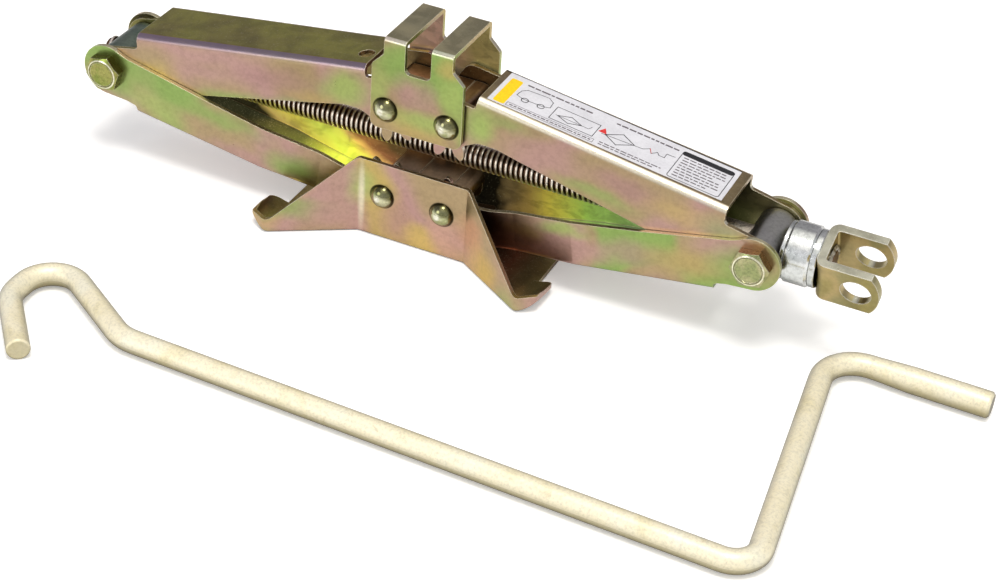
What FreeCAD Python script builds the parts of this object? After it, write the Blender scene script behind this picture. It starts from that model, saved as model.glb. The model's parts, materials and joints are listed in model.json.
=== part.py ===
import FreeCAD, Part
import math
import os

# Scissor jack with its crank handle lying on the ground beside it, in millimetres.
# Origin at the centre of the foot's underside, +Z up, +X (right) along the power
# screw toward the yoke, +Y (rear) across the jack.  The handle lies in front, at -Y.

Vector = FreeCAD.Vector
os.makedirs("parts", exist_ok=True)

# ---------------------------------------------------------------- dimensions
# Pose and linkage
AXIS_H = 54.0          # screw axis above the ground
PIVOT_X = 192.45       # trunnion pivot to jack centre
RIVET_X = 18.0         # half spacing of the geared pivots
RIVET_DZ = 27.28       # geared pivots above / below the screw axis
ARM_ANGLE = math.atan2(RIVET_DZ, PIVOT_X - RIVET_X)
ARM_LENGTH = math.hypot(RIVET_DZ, PIVOT_X - RIVET_X)   # pivot to pivot

# Pressed sheet parts
SHEET = 2.5            # sheet thickness
HALF_W_GEARED = 19.8   # outer half width of every arm at its geared end
HALF_W_UPPER = 20.9    # outer half width of the upper arms at the trunnions
HALF_W_OUTER = 23.6    # outer half width of saddle, foot and lower arm forks
PIVOT_PLAY = 0.08      # radial running clearance in the pivot holes
LOOSE_PLAY = 0.15      # the same at the upper right arm's trunnion

# Upper arms; heights are above the pivot line, toward the web
UPPER_BEND_R = 4.6     # outer bend radius
UPPER_WEB = 22.1       # web outer face at the geared pivot
UPPER_WEB_RISE = 0.006     # rise of that face per mm toward the trunnion
UPPER_STEP = 15.5      # flange edge height beyond the web's geared end
UPPER_WEB_START, UPPER_WEB_END = 12.0, 154.5
UPPER_EYE_R = 13.0     # eye radius at the trunnion end
WEB_HOLE_FROM_TRUNNION = 158.7
WEB_HOLE_Y = 5.3       # in the arm's own frame
WEB_HOLE_R = 4.5

# Lower arms
LOWER_BEND_R = 3.3
LOWER_WEB = 18.8
LOWER_STEP = 14.5
LOWER_WEB_START, LOWER_WEB_END = 12.0, 154.1
LOWER_EYE_R = 15.0
JOGGLE_START, JOGGLE_END = 41.0, 76.0     # from narrow to wide

# Gear sectors
TEETH = 9              # in a full turn
SECTOR_TEETH = 4
PITCH_R = 18.0
TIP_R = 21.4
LAND_R = TIP_R - 0.45  # where the flanks meet the rounded tip
ROOT_R = 14.0
PRESSURE_ANGLE = math.radians(28.0)
BASE_R = PITCH_R * math.cos(PRESSURE_ANGLE)
FLANK_RELIEF = math.radians(0.55)    # per side
ROOT_FLARE = math.radians(1.5)       # widening of a tooth from base to root circle
TOOTH_STEP = 2 * math.pi / TEETH
FIRST_TOOTH = math.radians(30.4)     # upper right and lower left arms
MESHING_TOOTH = FIRST_TOOTH - TOOTH_STEP / 2     # upper left and lower right

# Saddle; heights are above the screw axis
SADDLE_TOP = 69.9
SADDLE_LOW = 15.3
SADDLE_HALF_L = 27.0
NOTCH_HALF_L = 7.5     # notch between the two hoops
HOOP_HALF_L = 20.0
NOTCH_Z = 51.5
SADDLE_SHOULDER = 53.3
HOOP_BASE = 60.0

# Foot
CHEEK_H = 47.0         # cheek height above ground
FOLD_X = 32.3          # where the wings leave the cheeks in plan
LIP_H = 8.4
LIP_DROP = 1.8         # the left lips stand this much lower than the right
WING_TIP = (76.0, 51.64)       # in plan
PAD_CORNER = (86.0, 46.6)      # outer corner in plan
PAD_END_X = 86.2       # end line of the corner pads
MIDDLE_X = 77.0        # end line of the flat middle, set back between the pads
MIDDLE_Y = 22.0        # half width of the flat middle
PAD_ROUND = 6.0        # rounding of the inner pad corners in plan
CURL_X = 73.0          # where the corner pads start to curl up
CURL_R_WING = 13.2     # curl radius at the wing
CURL_R_MIDDLE = 25.0   # curl radius beside the flat middle
WING_Y = 51.0          # station of the wing curl

# Spacers; heights are measured from the rivet axis
SPACER_HALF_W = 17.0
SPACER_HALF_L = 24.5
SPACER_TOP = 8.2
SPACER_LOW = 9.0
SPACER_FOLD = 6.5      # depth of the end folds
SPACER_FOLD_R = 4.5
PRESS_LINES = (-5.5, 15.7)     # x of the shallow lines across the plate

# Label on the upper right arm
LABEL_START, LABEL_END = 15.6, 149.6
LABEL_HALF_W = 15.8
LABEL_FILM = 0.2

# Rivets, trunnions and pivot bolts
RIVET_R = 4.0
RIVET_HEAD_R = 7.0
RIVET_HEAD_H = 5.0
TRUNNION_R = 11.0
TRUNNION_HALF_W = 18.3
TRUNNION_FLAT = 10.5   # flat of the thrust trunnion from its axis
BOLT_R = 6.0
BOLT_FLATS = 19.0      # across flats
BOLT_HEAD_H = 6.4
BOLT_TIP_Y = 9.3       # bolt tip distance from the jack's middle plane

# Power screw
SCREW_R = 7.0
SCREW_CORE_R = 5.25
THREAD_PITCH = 3.0
CREST, ROOT = 1.1, 0.9
SCREW_START, THREAD_END, SCREW_END = -206.0, 168.0, 229.0

# Thrust stack between the thrust trunnion and the yoke
STACK_X = PIVOT_X + TRUNNION_FLAT
STACK_R = 15.6         # outer radius of the two plain washers
RACE_R = 14.6
RACE_BORE = 7.3
BALLS = 12
BALL_R = 2.0
BALL_CIRCLE_R = 10.9
BALL_X = STACK_X + 7.2
CUP_R = 16.5
CUP_BORE = 15.0
CUP_WALL_X = STACK_X + 12.2    # face of the turning race and of the cup's wall
CUP_END = 219.0

# Yoke
YOKE_START, YOKE_END = 222.6, 257.5
YOKE_HOLE_X = 245.0
YOKE_HALF_W = 14.5     # outer half width across the ears
YOKE_SHEET = 4.5
YOKE_HALF_H = 13.7     # half height of an ear
YOKE_HOLE_R = 8.25
YOKE_NOSE_R = 22.5     # end radius of an ear
YOKE_ROLL = 20.0       # roll about the screw axis, degrees

# Crank handle
ROD_R = 6.2
GRIP_R = 7.1
GRIP_TAPER = 20.0      # length over which the grip swells
HANDLE_ROUND = 1.2     # rounding of the rod and grip ends
# Centre line in plan from the hook to the grip end: x, y, bend radius
HANDLE_PATH = [
    (-123.0, -212.7, 0), (-154.0, -176.4, 20), (-154.0, -133.2, 16.5), (-84.6, -178.8, 26),
    (258.4, -188.2, 14), (237.1, -12.1, 20), (324.0, -13.2, 0)]

ALONG, ACROSS, UP = (1, 0, 0), (0, 1, 0), (0, 0, 1)
REACH = 40.0           # cutting tools across the jack run from -REACH to +REACH


# ------------------------------------------------------------------- helpers
def at_x(x):
    """Mapping of outline points (y, z) into the plane at x."""
    return lambda y, z: Vector(x, y, z)


def at_y(y):
    return lambda x, z: Vector(x, y, z)


def at_z(z):
    return lambda x, y: Vector(x, y, z)


def rounded(points, closed=True):
    """Lines (start, end) and arcs (start, middle, end) through points (x, y, radius)."""
    count = len(points)
    corners = []
    for i in range(count):
        x, y, radius = points[i]
        sharp = ((x, y), (x, y), None)
        if radius <= 0 or (not closed and i in (0, count - 1)):
            corners.append(sharp)
            continue
        back_x, back_y, _ = points[(i - 1) % count]
        next_x, next_y, _ = points[(i + 1) % count]
        back_l = math.hypot(back_x - x, back_y - y)
        next_l = math.hypot(next_x - x, next_y - y)
        back = ((back_x - x) / back_l, (back_y - y) / back_l)
        ahead = ((next_x - x) / next_l, (next_y - y) / next_l)
        angle = math.acos(max(-1.0, min(1.0, back[0] * ahead[0] + back[1] * ahead[1])))
        if angle > math.pi - 1e-4:
            corners.append(sharp)
            continue
        cut = radius / math.tan(angle / 2)
        start = (x + back[0] * cut, y + back[1] * cut)
        end = (x + ahead[0] * cut, y + ahead[1] * cut)
        mid_x, mid_y = back[0] + ahead[0], back[1] + ahead[1]
        mid_l = math.hypot(mid_x, mid_y)
        depth = radius / math.sin(angle / 2) - radius
        middle = (x + mid_x / mid_l * depth, y + mid_y / mid_l * depth)
        corners.append((start, end, middle))
    items = []
    for i in range(count):
        start, end, middle = corners[i]
        if middle is not None:
            items.append((start, middle, end))
        if not closed and i == count - 1:
            break
        following = corners[(i + 1) % count][0]
        if math.hypot(following[0] - end[0], following[1] - end[1]) > 1e-6:
            items.append((end, following))
    return items


def wire_of(items, put):
    edges = []
    for item in items:
        points = [put(*point) for point in item]
        if len(points) == 2:
            edges.append(Part.makeLine(*points))
        else:
            edges.append(Part.Arc(*points).toShape())
    return Part.Wire(edges)


def prism(points, put, sweep):
    """Solid from a closed rounded outline, mapped by put and swept."""
    return Part.Face(wire_of(rounded(points), put)).extrude(sweep)


def prism_across(points):
    """Prism of an (x, z) outline right across the jack."""
    return prism(points, at_y(-REACH), Vector(0, 2 * REACH, 0))


def cylinder(start, direction, radius, length):
    return Part.makeCylinder(radius, length, Vector(*start), Vector(*direction))


def drill_across(shape, x, z, radius):
    return shape.cut(cylinder((x, -REACH, z), ACROSS, radius, 2 * REACH))


def box(x0, x1, y0, y1, z0, z1):
    return Part.makeBox(x1 - x0, y1 - y0, z1 - z0, Vector(x0, y0, z0))


def turned(profile):
    """Solid of revolution about the screw axis from points (x, radius)."""
    points = [Vector(x, radius, AXIS_H) for x, radius in profile]
    face = Part.Face(Part.makePolygon(points + [points[0]]))
    return face.revolve(Vector(0, 0, AXIS_H), Vector(*ALONG), 360)


def u_outline(half_w, top, low, outer_r, inner_r):
    """Sheet section of an inverted U."""
    inside = half_w - SHEET
    return [(-half_w, low, 0), (-half_w, top, outer_r), (half_w, top, outer_r),
            (half_w, low, 0), (inside, low, 0), (inside, top - SHEET, inner_r),
            (-inside, top - SHEET, inner_r), (-inside, low, 0)]


def merged(shape):
    """Merge split faces and unwrap a lone solid."""
    shape = shape.removeSplitter()
    if shape.ShapeType != 'Solid' and len(shape.Solids) == 1:
        shape = shape.Solids[0]
    return shape


def save(name, shape):
    shape.exportStep("parts/%s.step" % name)


# -------------------------------------------------------------- gear sectors
def involute(angle):
    return math.tan(angle) - angle


def tooth_half_angle(radius):
    """Half angle of a tooth at a radius, with flank relief."""
    at_base = math.pi / (2 * TEETH) + involute(PRESSURE_ANGLE) - FLANK_RELIEF
    if radius <= BASE_R:
        return at_base
    return at_base - involute(math.acos(BASE_R / radius))


def polar(radius, angle):
    """Angle measured from the free-edge side toward the trunnion."""
    return (radius * math.sin(angle), -radius * math.cos(angle))


def gear_face(first_tooth, put):
    """Sector whose tooth nearest the trunnion is centred on first_tooth."""
    centres = [first_tooth - TOOTH_STEP * k for k in reversed(range(SECTOR_TEETH))]
    base_half = tooth_half_angle(BASE_R)
    pitch_half = tooth_half_angle(PITCH_R)
    land_half = tooth_half_angle(LAND_R)
    root_half = base_half + ROOT_FLARE
    hub = (0.0, 0.0)

    def root_arc(start, end):
        return (polar(ROOT_R, start), polar(ROOT_R, (start + end) / 2), polar(ROOT_R, end))

    angle = centres[0] - TOOTH_STEP / 2
    items = [(hub, polar(ROOT_R, angle))]
    for centre in centres:
        base_in = polar(BASE_R, centre - base_half)
        land_in = polar(LAND_R, centre - land_half)
        land_out = polar(LAND_R, centre + land_half)
        base_out = polar(BASE_R, centre + base_half)
        items += [
            root_arc(angle, centre - root_half),
            (polar(ROOT_R, centre - root_half), base_in),
            (base_in, polar(PITCH_R, centre - pitch_half), land_in),
            (land_in, polar(TIP_R, centre), land_out),
            (land_out, polar(PITCH_R, centre + pitch_half), base_out),
            (base_out, polar(ROOT_R, centre + root_half))]
        angle = centre + root_half
    end = centres[-1] + TOOTH_STEP / 2
    items += [root_arc(angle, end), (polar(ROOT_R, end), hub)]
    return Part.Face(wire_of(items, put))


# ---------------------------------------------------------------------- arms
# Arms are built in their own frame: x from the geared pivot to the trunnion
# pivot, z toward the web, y across.
def arm_side(outline, eye_r, first_tooth):
    """Side view of an arm with its eye and gear sector, swept across."""
    body = prism_across(outline)
    for x, radius in ((ARM_LENGTH, eye_r), (0, ROOT_R)):
        body = body.fuse(cylinder((x, -REACH, 0), ACROSS, radius, 2 * REACH))
    gear = gear_face(first_tooth, at_y(-REACH)).extrude(Vector(0, 2 * REACH, 0))
    return merged(body.fuse(gear))


def pressed_arm(sections, bend_r, side, bolt_play):
    """Lofted channel through sections (x, half width, web height), cut to its side."""
    wires = [wire_of(rounded(u_outline(half_w, web, -27.0, bend_r, bend_r - SHEET)), at_x(x))
             for x, half_w, web in sections]
    arm = Part.makeLoft(wires, True, True).common(side)
    arm = drill_across(arm, 0, 0, RIVET_R + PIVOT_PLAY)
    return drill_across(arm, ARM_LENGTH, 0, BOLT_R + bolt_play)


def upper_web(x):
    return UPPER_WEB + UPPER_WEB_RISE * x


def upper_arm(first_tooth, web_hole=False, bolt_play=PIVOT_PLAY):
    sections = [(x, half_w, upper_web(x)) for x, half_w in (
        (-26, HALF_W_GEARED), (30, HALF_W_GEARED), (140, HALF_W_UPPER),
        (ARM_LENGTH + 24, HALF_W_UPPER))]
    # Side outline: x, z, corner radius
    outline = [
        (-10.0, UPPER_STEP, 7), (UPPER_WEB_START, UPPER_STEP, 1.5),
        (UPPER_WEB_START, UPPER_WEB + 3, 0), (UPPER_WEB_END, UPPER_WEB + 3, 0),
        (155.4, 14.2, 2.5), (166.0, 13.6, 10),
        (ARM_LENGTH - 1.0, UPPER_EYE_R - 0.05, 0), (ARM_LENGTH - 1.0, -UPPER_EYE_R + 0.05, 0),
        (114.8, -8.9, 60), (43.1, -3.7, 60), (27.6, -2.4, 12), (17.6, -3.9, 8),
        (9.6, -9.4, 0), (0, 0, 0), (-13.7, 2.0, 0), (-14.0, 6.0, 3)]
    side = arm_side(outline, UPPER_EYE_R, first_tooth)
    arm = pressed_arm(sections, UPPER_BEND_R, side, bolt_play)
    if web_hole:
        start = (ARM_LENGTH - WEB_HOLE_FROM_TRUNNION, WEB_HOLE_Y, UPPER_WEB - 10)
        arm = arm.cut(cylinder(start, UP, WEB_HOLE_R, 20))
    return merged(arm)


def lower_arm(first_tooth):
    sections = [(x, half_w, LOWER_WEB) for x, half_w in (
        (-26, HALF_W_GEARED), (JOGGLE_START, HALF_W_GEARED), (JOGGLE_END, HALF_W_OUTER),
        (ARM_LENGTH + 24, HALF_W_OUTER))]
    # Side outline: x, z, corner radius
    outline = [
        (-9.5, LOWER_STEP, 6), (LOWER_WEB_START, LOWER_STEP, 1.5),
        (LOWER_WEB_START, LOWER_WEB + 2, 0), (LOWER_WEB_END, LOWER_WEB + 2, 0),
        (155.2, 14.6, 2.5), (162.0, 14.0, 10),
        (ARM_LENGTH - 1.0, LOWER_EYE_R - 0.05, 0), (ARM_LENGTH - 1.0, -LOWER_EYE_R + 0.05, 0),
        (165.9, -12.5, 20), (114.8, -9.2, 60), (43.5, -6.1, 60), (27.0, -4.4, 12),
        (17.4, -5.2, 8), (10.6, -8.6, 0), (0, 0, 0), (-13.7, 2.0, 0), (-13.8, 5.5, 3)]
    side = arm_side(outline, LOWER_EYE_R, first_tooth)
    return merged(pressed_arm(sections, LOWER_BEND_R, side, PIVOT_PLAY))


def place(shape, side, level):
    """Move from the arm frame to a pivot: side +1 right, -1 left; level +1 upper, -1 lower."""
    cos, sin = math.cos(ARM_ANGLE), math.sin(ARM_ANGLE)
    arm_dir = Vector(side * cos, 0, -level * sin)
    web_dir = Vector(side * sin, 0, level * cos)
    cross_dir = web_dir.cross(arm_dir)
    pivot = Vector(side * RIVET_X, 0, AXIS_H + level * RIVET_DZ)
    shape.Placement = FreeCAD.Placement(FreeCAD.Matrix(
        arm_dir.x, cross_dir.x, web_dir.x, pivot.x,
        arm_dir.y, cross_dir.y, web_dir.y, pivot.y,
        arm_dir.z, cross_dir.z, web_dir.z, pivot.z,
        0, 0, 0, 1))
    return shape


def instruction_label():
    """Thin film on the web of the upper right arm."""
    start, end = upper_web(LABEL_START), upper_web(LABEL_END)
    film = prism([(LABEL_START, start, 0), (LABEL_END, end, 0),
                  (LABEL_END, end + LABEL_FILM, 0), (LABEL_START, start + LABEL_FILM, 0)],
                 at_y(-LABEL_HALF_W), Vector(0, 2 * LABEL_HALF_W, 0))
    return place(film, 1, 1)


save("upper_right_arm", place(upper_arm(FIRST_TOOTH, bolt_play=LOOSE_PLAY), 1, 1))
save("upper_left_arm", place(upper_arm(MESHING_TOOTH, web_hole=True), -1, 1))
save("lower_left_arm", place(lower_arm(FIRST_TOOTH), -1, -1))
save("lower_right_arm", place(lower_arm(MESHING_TOOTH), 1, -1))
save("instruction_label", instruction_label())


# -------------------------------------------------------- saddle and spacers
def top_saddle():
    """Inverted U along X, cut to two hoops with a notch between them."""
    top, low = AXIS_H + SADDLE_TOP, AXIS_H + SADDLE_LOW
    shoulder = AXIS_H + SADDLE_SHOULDER
    hoop_base = AXIS_H + HOOP_BASE
    notch = AXIS_H + NOTCH_Z
    saddle = prism(u_outline(HALF_W_OUTER, top, low - 5, 3.0, 0.6),
                   at_x(-REACH), Vector(2 * REACH, 0, 0))
    outline = [
        (-HOOP_HALF_L, top + 1, 0), (-HOOP_HALF_L, hoop_base, 2.5),
        (-SADDLE_HALF_L + 0.3, shoulder, 3), (-SADDLE_HALF_L, low, 5),
        (SADDLE_HALF_L, low, 5), (SADDLE_HALF_L - 0.3, shoulder, 3),
        (HOOP_HALF_L, hoop_base, 2.5), (HOOP_HALF_L, top + 1, 0),
        (NOTCH_HALF_L, top + 1, 0), (NOTCH_HALF_L, notch, 3),
        (-NOTCH_HALF_L, notch, 3), (-NOTCH_HALF_L, top + 1, 0)]
    saddle = saddle.common(prism_across(outline))
    for side in (-1, 1):
        saddle = drill_across(saddle, side * RIVET_X, AXIS_H + RIVET_DZ, RIVET_R)
    return merged(saddle)


def spacer(level):
    """Inverted-U spacer between the gear flanges: a flat plate and two legs."""
    rivet_z = AXIS_H + level * RIVET_DZ
    top, low = rivet_z + SPACER_TOP, rivet_z - SPACER_LOW
    half_l = SPACER_HALF_L
    body = prism(u_outline(SPACER_HALF_W, top, low, 1.6, 0.5),
                 at_x(-half_l), Vector(2 * half_l, 0, 0))
    body = body.common(prism_across([
        (-half_l, low, 7), (half_l, low, 7), (half_l, top + 1, 0), (-half_l, top + 1, 0)]))
    # The plate's ends fold down between the legs
    cap_half_w = SPACER_HALF_W - 0.6
    cap = prism(u_outline(half_l, top, top - SPACER_FOLD, SPACER_FOLD_R, 2.0),
                at_y(-cap_half_w), Vector(0, 2 * cap_half_w, 0))
    trim = prism_across([(-half_l, low, 0), (half_l, low, 0),
                         (half_l, top, SPACER_FOLD_R), (-half_l, top, SPACER_FOLD_R)])
    body = body.common(trim).fuse(cap)
    for x in PRESS_LINES:
        body = body.cut(box(x - 0.35, x + 0.35, -30, 30, top - 0.4, top + 1))
    for side in (-1, 1):
        body = drill_across(body, side * RIVET_X, rivet_z, RIVET_R)
    return merged(body)


save("top_saddle", top_saddle())
save("saddle_spacer", spacer(1))
save("foot_spacer", spacer(-1))


# --------------------------------------------------------------------- foot
def inset(points, offset):
    """Move a closed counter-clockwise outline inward."""
    result = []
    count = len(points)
    for i in range(count):
        back_x, back_y, _ = points[i - 1]
        x, y, radius = points[i]
        next_x, next_y, _ = points[(i + 1) % count]
        back_l = math.hypot(x - back_x, y - back_y)
        next_l = math.hypot(next_x - x, next_y - y)
        normal_in = (-(y - back_y) / back_l, (x - back_x) / back_l)
        normal_out = (-(next_y - y) / next_l, (next_x - x) / next_l)
        scale = offset / (1 + normal_in[0] * normal_out[0] + normal_in[1] * normal_out[1])
        turn = (x - back_x) * (next_y - y) - (y - back_y) * (next_x - x)
        new_radius = max(radius - offset, 0.8) if turn > 0 else radius + offset
        result.append((x + (normal_in[0] + normal_out[0]) * scale,
                       y + (normal_in[1] + normal_out[1]) * scale, new_radius))
    return result


def mirror_quadrants(quadrant):
    """Closed outline from its first-quadrant points, listed from the x axis."""
    points = list(quadrant)
    points += [(-x, y, r) for x, y, r in reversed(quadrant)]
    points += [(-x, -y, r) for x, y, r in quadrant]
    points += [(x, -y, r) for x, y, r in reversed(quadrant)]
    return points


def outer_plan():
    return mirror_quadrants([(PAD_END_X, 20.0, 12), (*PAD_CORNER, 2.2), (*WING_TIP, 4.0),
                             (FOLD_X, HALF_W_OUTER, 2.0)])


def inner_plan():
    """Hollow one sheet inside the wings, running out past the open ends."""
    end_x = 99.0
    slope = (PAD_CORNER[1] - WING_TIP[1]) / (PAD_CORNER[0] - WING_TIP[0])
    quadrant = [(end_x, 10.0, 0), (end_x, WING_TIP[1] + slope * (end_x - WING_TIP[0]), 0),
                (*WING_TIP, 4.0), (FOLD_X, HALF_W_OUTER, 2.0)]
    return [(x, y, 0 if abs(x) > 90 else r)
            for x, y, r in inset(mirror_quadrants(quadrant), SHEET)]


def curl_wire(y, radius, offset):
    """Region above the curled sole at one station across the foot."""
    top = 70
    arc_r = radius - offset
    reach = min(0.985 * arc_r, 24.0)
    angle = math.asin(reach / arc_r)
    mid_x = CURL_X + arc_r * math.sin(angle / 2)
    mid_z = radius - arc_r * math.cos(angle / 2)
    end_x, end_z = CURL_X + reach, radius - arc_r * math.cos(angle)
    return wire_of([
        ((-end_x, top), (-end_x, end_z)),
        ((-end_x, end_z), (-mid_x, mid_z), (-CURL_X, offset)),
        ((-CURL_X, offset), (CURL_X, offset)),
        ((CURL_X, offset), (mid_x, mid_z), (end_x, end_z)),
        ((end_x, end_z), (end_x, top)),
        ((end_x, top), (-end_x, top))], at_y(y))


def sole(half_l, offset):
    """Space above the sole: a flat middle and curled sides."""
    body = box(-half_l, half_l, -MIDDLE_Y, MIDDLE_Y, offset, 70)
    for side in (-1, 1):
        middle = curl_wire(side * MIDDLE_Y, CURL_R_MIDDLE, offset)
        wing = curl_wire(side * WING_Y, CURL_R_WING, offset)
        body = body.fuse(Part.makeLoft([middle, wing], True, True))
        body = body.fuse(Part.Face(wing).extrude(Vector(0, side * 4.0, 0)))
    return body


def round_sole(outer):
    """Round the long ground edges outside the flat middle."""
    # The fillet may fail or give a broken solid; the edges then stay sharp
    try:
        edges = [e for e in outer.Edges
                 if e.BoundBox.ZMax < 1e-6 and e.BoundBox.ZMin > -1e-6
                 and abs(e.BoundBox.YMax) > MIDDLE_Y + 0.5
                 and abs(e.BoundBox.YMin) > MIDDLE_Y + 0.5
                 and e.BoundBox.XLength > 20]
        filleted = outer.makeFillet(1.2, edges)
        if filleted.isValid() and filleted.Volume > 0.9 * outer.Volume:
            return filleted
    except Exception:
        pass
    return outer


def foot():
    rise = Vector(0, 0, 80)
    outer = prism(outer_plan(), at_z(-1), rise).common(sole(MIDDLE_X, 0.0))
    inner = prism(inner_plan(), at_z(-1), rise).common(sole(100, SHEET))
    body = round_sole(outer).cut(inner)
    # Side view limit: cheeks, sloping wing tops, end lips
    right_lip = LIP_H + 2.0
    left_lip = right_lip - LIP_DROP
    side_view = [
        (-95, -1, 0), (95, -1, 0), (95, right_lip, 0), (84.0, right_lip, 4),
        (74.0, LIP_H, 6), (33.6, CHEEK_H, 5), (-33.6, CHEEK_H, 5),
        (-74.0, LIP_H - 0.6, 6), (-84.0, left_lip, 4), (-95, left_lip, 0)]
    body = body.common(prism(side_view, at_y(-70), Vector(0, 140, 0)))
    for side in (-1, 1):
        body = drill_across(body, side * RIVET_X, AXIS_H - RIVET_DZ, RIVET_R)
        for rear in (-1, 1):
            # Round the pad corner beside the set back middle
            x, y = side * (PAD_END_X - PAD_ROUND), rear * (MIDDLE_Y + PAD_ROUND)
            x_range = sorted((x, x + side * 12))
            y_range = sorted((y, y - rear * (PAD_ROUND + 0.5)))
            corner = box(*x_range, *y_range, -1, 40)
            body = body.cut(corner.cut(cylinder((x, y, -2), UP, PAD_ROUND, 44)))
    return merged(body)


save("foot", foot())


# --------------------------------------------- rivets, trunnions and bolts
def rivet(x, z):
    """Solid rivet, shank across the jack with a domed head at both ends."""
    seat = HALF_W_OUTER
    tip = seat + RIVET_HEAD_H
    dome_r = (RIVET_HEAD_R ** 2 + RIVET_HEAD_H ** 2) / (2 * RIVET_HEAD_H)
    angle = math.asin(RIVET_HEAD_R / dome_r)
    mid_r = dome_r * math.sin(angle / 2)
    mid_y = tip - dome_r + dome_r * math.cos(angle / 2)
    # Half profile: radius, y
    profile = [
        ((0, tip), (mid_r, mid_y), (RIVET_HEAD_R, seat)),
        ((RIVET_HEAD_R, seat), (RIVET_R, seat)),
        ((RIVET_R, seat), (RIVET_R, -seat)),
        ((RIVET_R, -seat), (RIVET_HEAD_R, -seat)),
        ((RIVET_HEAD_R, -seat), (mid_r, -mid_y), (0, -tip)),
        ((0, -tip), (0, tip))]
    face = Part.Face(wire_of(profile, lambda radius, y: Vector(x + radius, y, z)))
    return face.revolve(Vector(x, 0, z), Vector(*ACROSS), 360)


def trunnion(x, flat):
    """Cross pin bored for the screw and, at both ends, for the pivot bolts."""
    body = cylinder((x, -TRUNNION_HALF_W, AXIS_H), ACROSS, TRUNNION_R, 2 * TRUNNION_HALF_W)
    rims = [e for e in body.Edges if e.Curve.TypeId == 'Part::GeomCircle']
    body = body.makeChamfer(0.8, rims)
    if flat:
        body = body.cut(box(x + TRUNNION_FLAT, x + 20, -30, 30, AXIS_H - 20, AXIS_H + 20))
    body = body.cut(cylinder((x - 30, 0, AXIS_H), ALONG, SCREW_R + PIVOT_PLAY, 60))
    for rear in (-1, 1):
        body = body.cut(cylinder((x, rear * 30, AXIS_H), (0, -rear, 0), BOLT_R,
                                 30 - BOLT_TIP_Y))
    return merged(body)


def bolt(x, rear, turn):
    """Hexagon bolt from the front (rear -1) or rear (+1), head turned in degrees."""
    seat = rear * HALF_W_OUTER
    shank = cylinder((x, seat, AXIS_H), (0, -rear, 0), BOLT_R, HALF_W_OUTER - BOLT_TIP_Y)
    corner_r = BOLT_FLATS / 2 / math.cos(math.pi / 6)
    hexagon = []
    for k in range(6):
        angle = math.radians(turn + 60 * k)
        hexagon.append(Vector(x + corner_r * math.cos(angle), seat,
                              AXIS_H + corner_r * math.sin(angle)))
    head = Part.Face(Part.makePolygon(hexagon + [hexagon[0]]))
    head = head.extrude(Vector(0, rear * BOLT_HEAD_H, 0))
    # A cone chamfers the hexagon corners and leaves a shallow dish in the top
    rim_r = BOLT_FLATS / 2 - 1.5
    cone_r = corner_r + 1
    top = BOLT_HEAD_H
    profile = [(0, 0), (cone_r, 0), (cone_r, top - (cone_r - rim_r) * 0.5), (rim_r, top),
               (rim_r - 0.7, top), (rim_r - 0.9, top - 0.25), (0, top - 0.25), (0, 0)]
    points = [Vector(x + radius, seat + rear * height, AXIS_H) for radius, height in profile]
    cone = Part.Face(Part.makePolygon(points)).revolve(
        Vector(x, 0, AXIS_H), Vector(*ACROSS), 360)
    return merged(head.common(cone).fuse(shank))


for level_name, level in (("upper", 1), ("lower", -1)):
    for side_name, side in (("left", -1), ("right", 1)):
        save("rivet_%s_%s" % (level_name, side_name),
             rivet(side * RIVET_X, AXIS_H + level * RIVET_DZ))

save("trunnion_nut", trunnion(-PIVOT_X, flat=False))
save("trunnion_thrust", trunnion(PIVOT_X, flat=True))

save("pivot_bolt_left_front", bolt(-PIVOT_X, -1, turn=12))
save("pivot_bolt_left_rear", bolt(-PIVOT_X, 1, turn=0))
save("pivot_bolt_right_front", bolt(PIVOT_X, -1, turn=9))
save("pivot_bolt_right_rear", bolt(PIVOT_X, 1, turn=20))


# -------------------------------------------------------------- power screw
def power_screw():
    """Screw with ring grooves at the thread pitch and a plain right end."""
    flank = (THREAD_PITCH - CREST - ROOT) / 2
    x = SCREW_START + 1.2
    profile = [(SCREW_START, 0), (SCREW_START, SCREW_CORE_R), (x, SCREW_R - 0.4)]
    x += 0.3
    profile.append((x, SCREW_R - 0.02))
    while x + THREAD_PITCH < THREAD_END:
        groove = x + CREST + flank
        profile += [(x + 0.01, SCREW_R), (x + CREST, SCREW_R), (groove, SCREW_CORE_R),
                    (groove + ROOT, SCREW_CORE_R), (x + THREAD_PITCH, SCREW_R)]
        x += THREAD_PITCH
    profile += [(x + 0.02, SCREW_R), (SCREW_END - 1, SCREW_R), (SCREW_END, SCREW_R - 1),
                (SCREW_END, 0)]
    return turned(profile)


save("power_screw", power_screw())


# ------------------------------------------------------------- thrust stack
def washer(start, end, bore, radius, chamfer=0.3):
    return turned([(start, bore), (start, radius - chamfer), (start + chamfer, radius),
                   (end - chamfer, radius), (end, radius - chamfer), (end, bore)])


def ball_centres():
    angles = [math.radians(360 / BALLS * k) for k in range(BALLS)]
    return [(BALL_CIRCLE_R * math.cos(a), AXIS_H + BALL_CIRCLE_R * math.sin(a))
            for a in angles]


def bearing_balls():
    return Part.makeCompound(
        [Part.makeSphere(BALL_R, Vector(BALL_X, y, z)) for y, z in ball_centres()])


def bearing_cage():
    start = BALL_X - 0.6
    cage = cylinder((start, 0, AXIS_H), ALONG, 14.2, 1.2)
    cage = cage.cut(cylinder((start - 1, 0, AXIS_H), ALONG, 7.6, 3.2))
    for y, z in ball_centres():
        cage = cage.cut(cylinder((BALL_X - 2, y, z), ALONG, BALL_R + 0.1, 4))
    return merged(cage)


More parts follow.
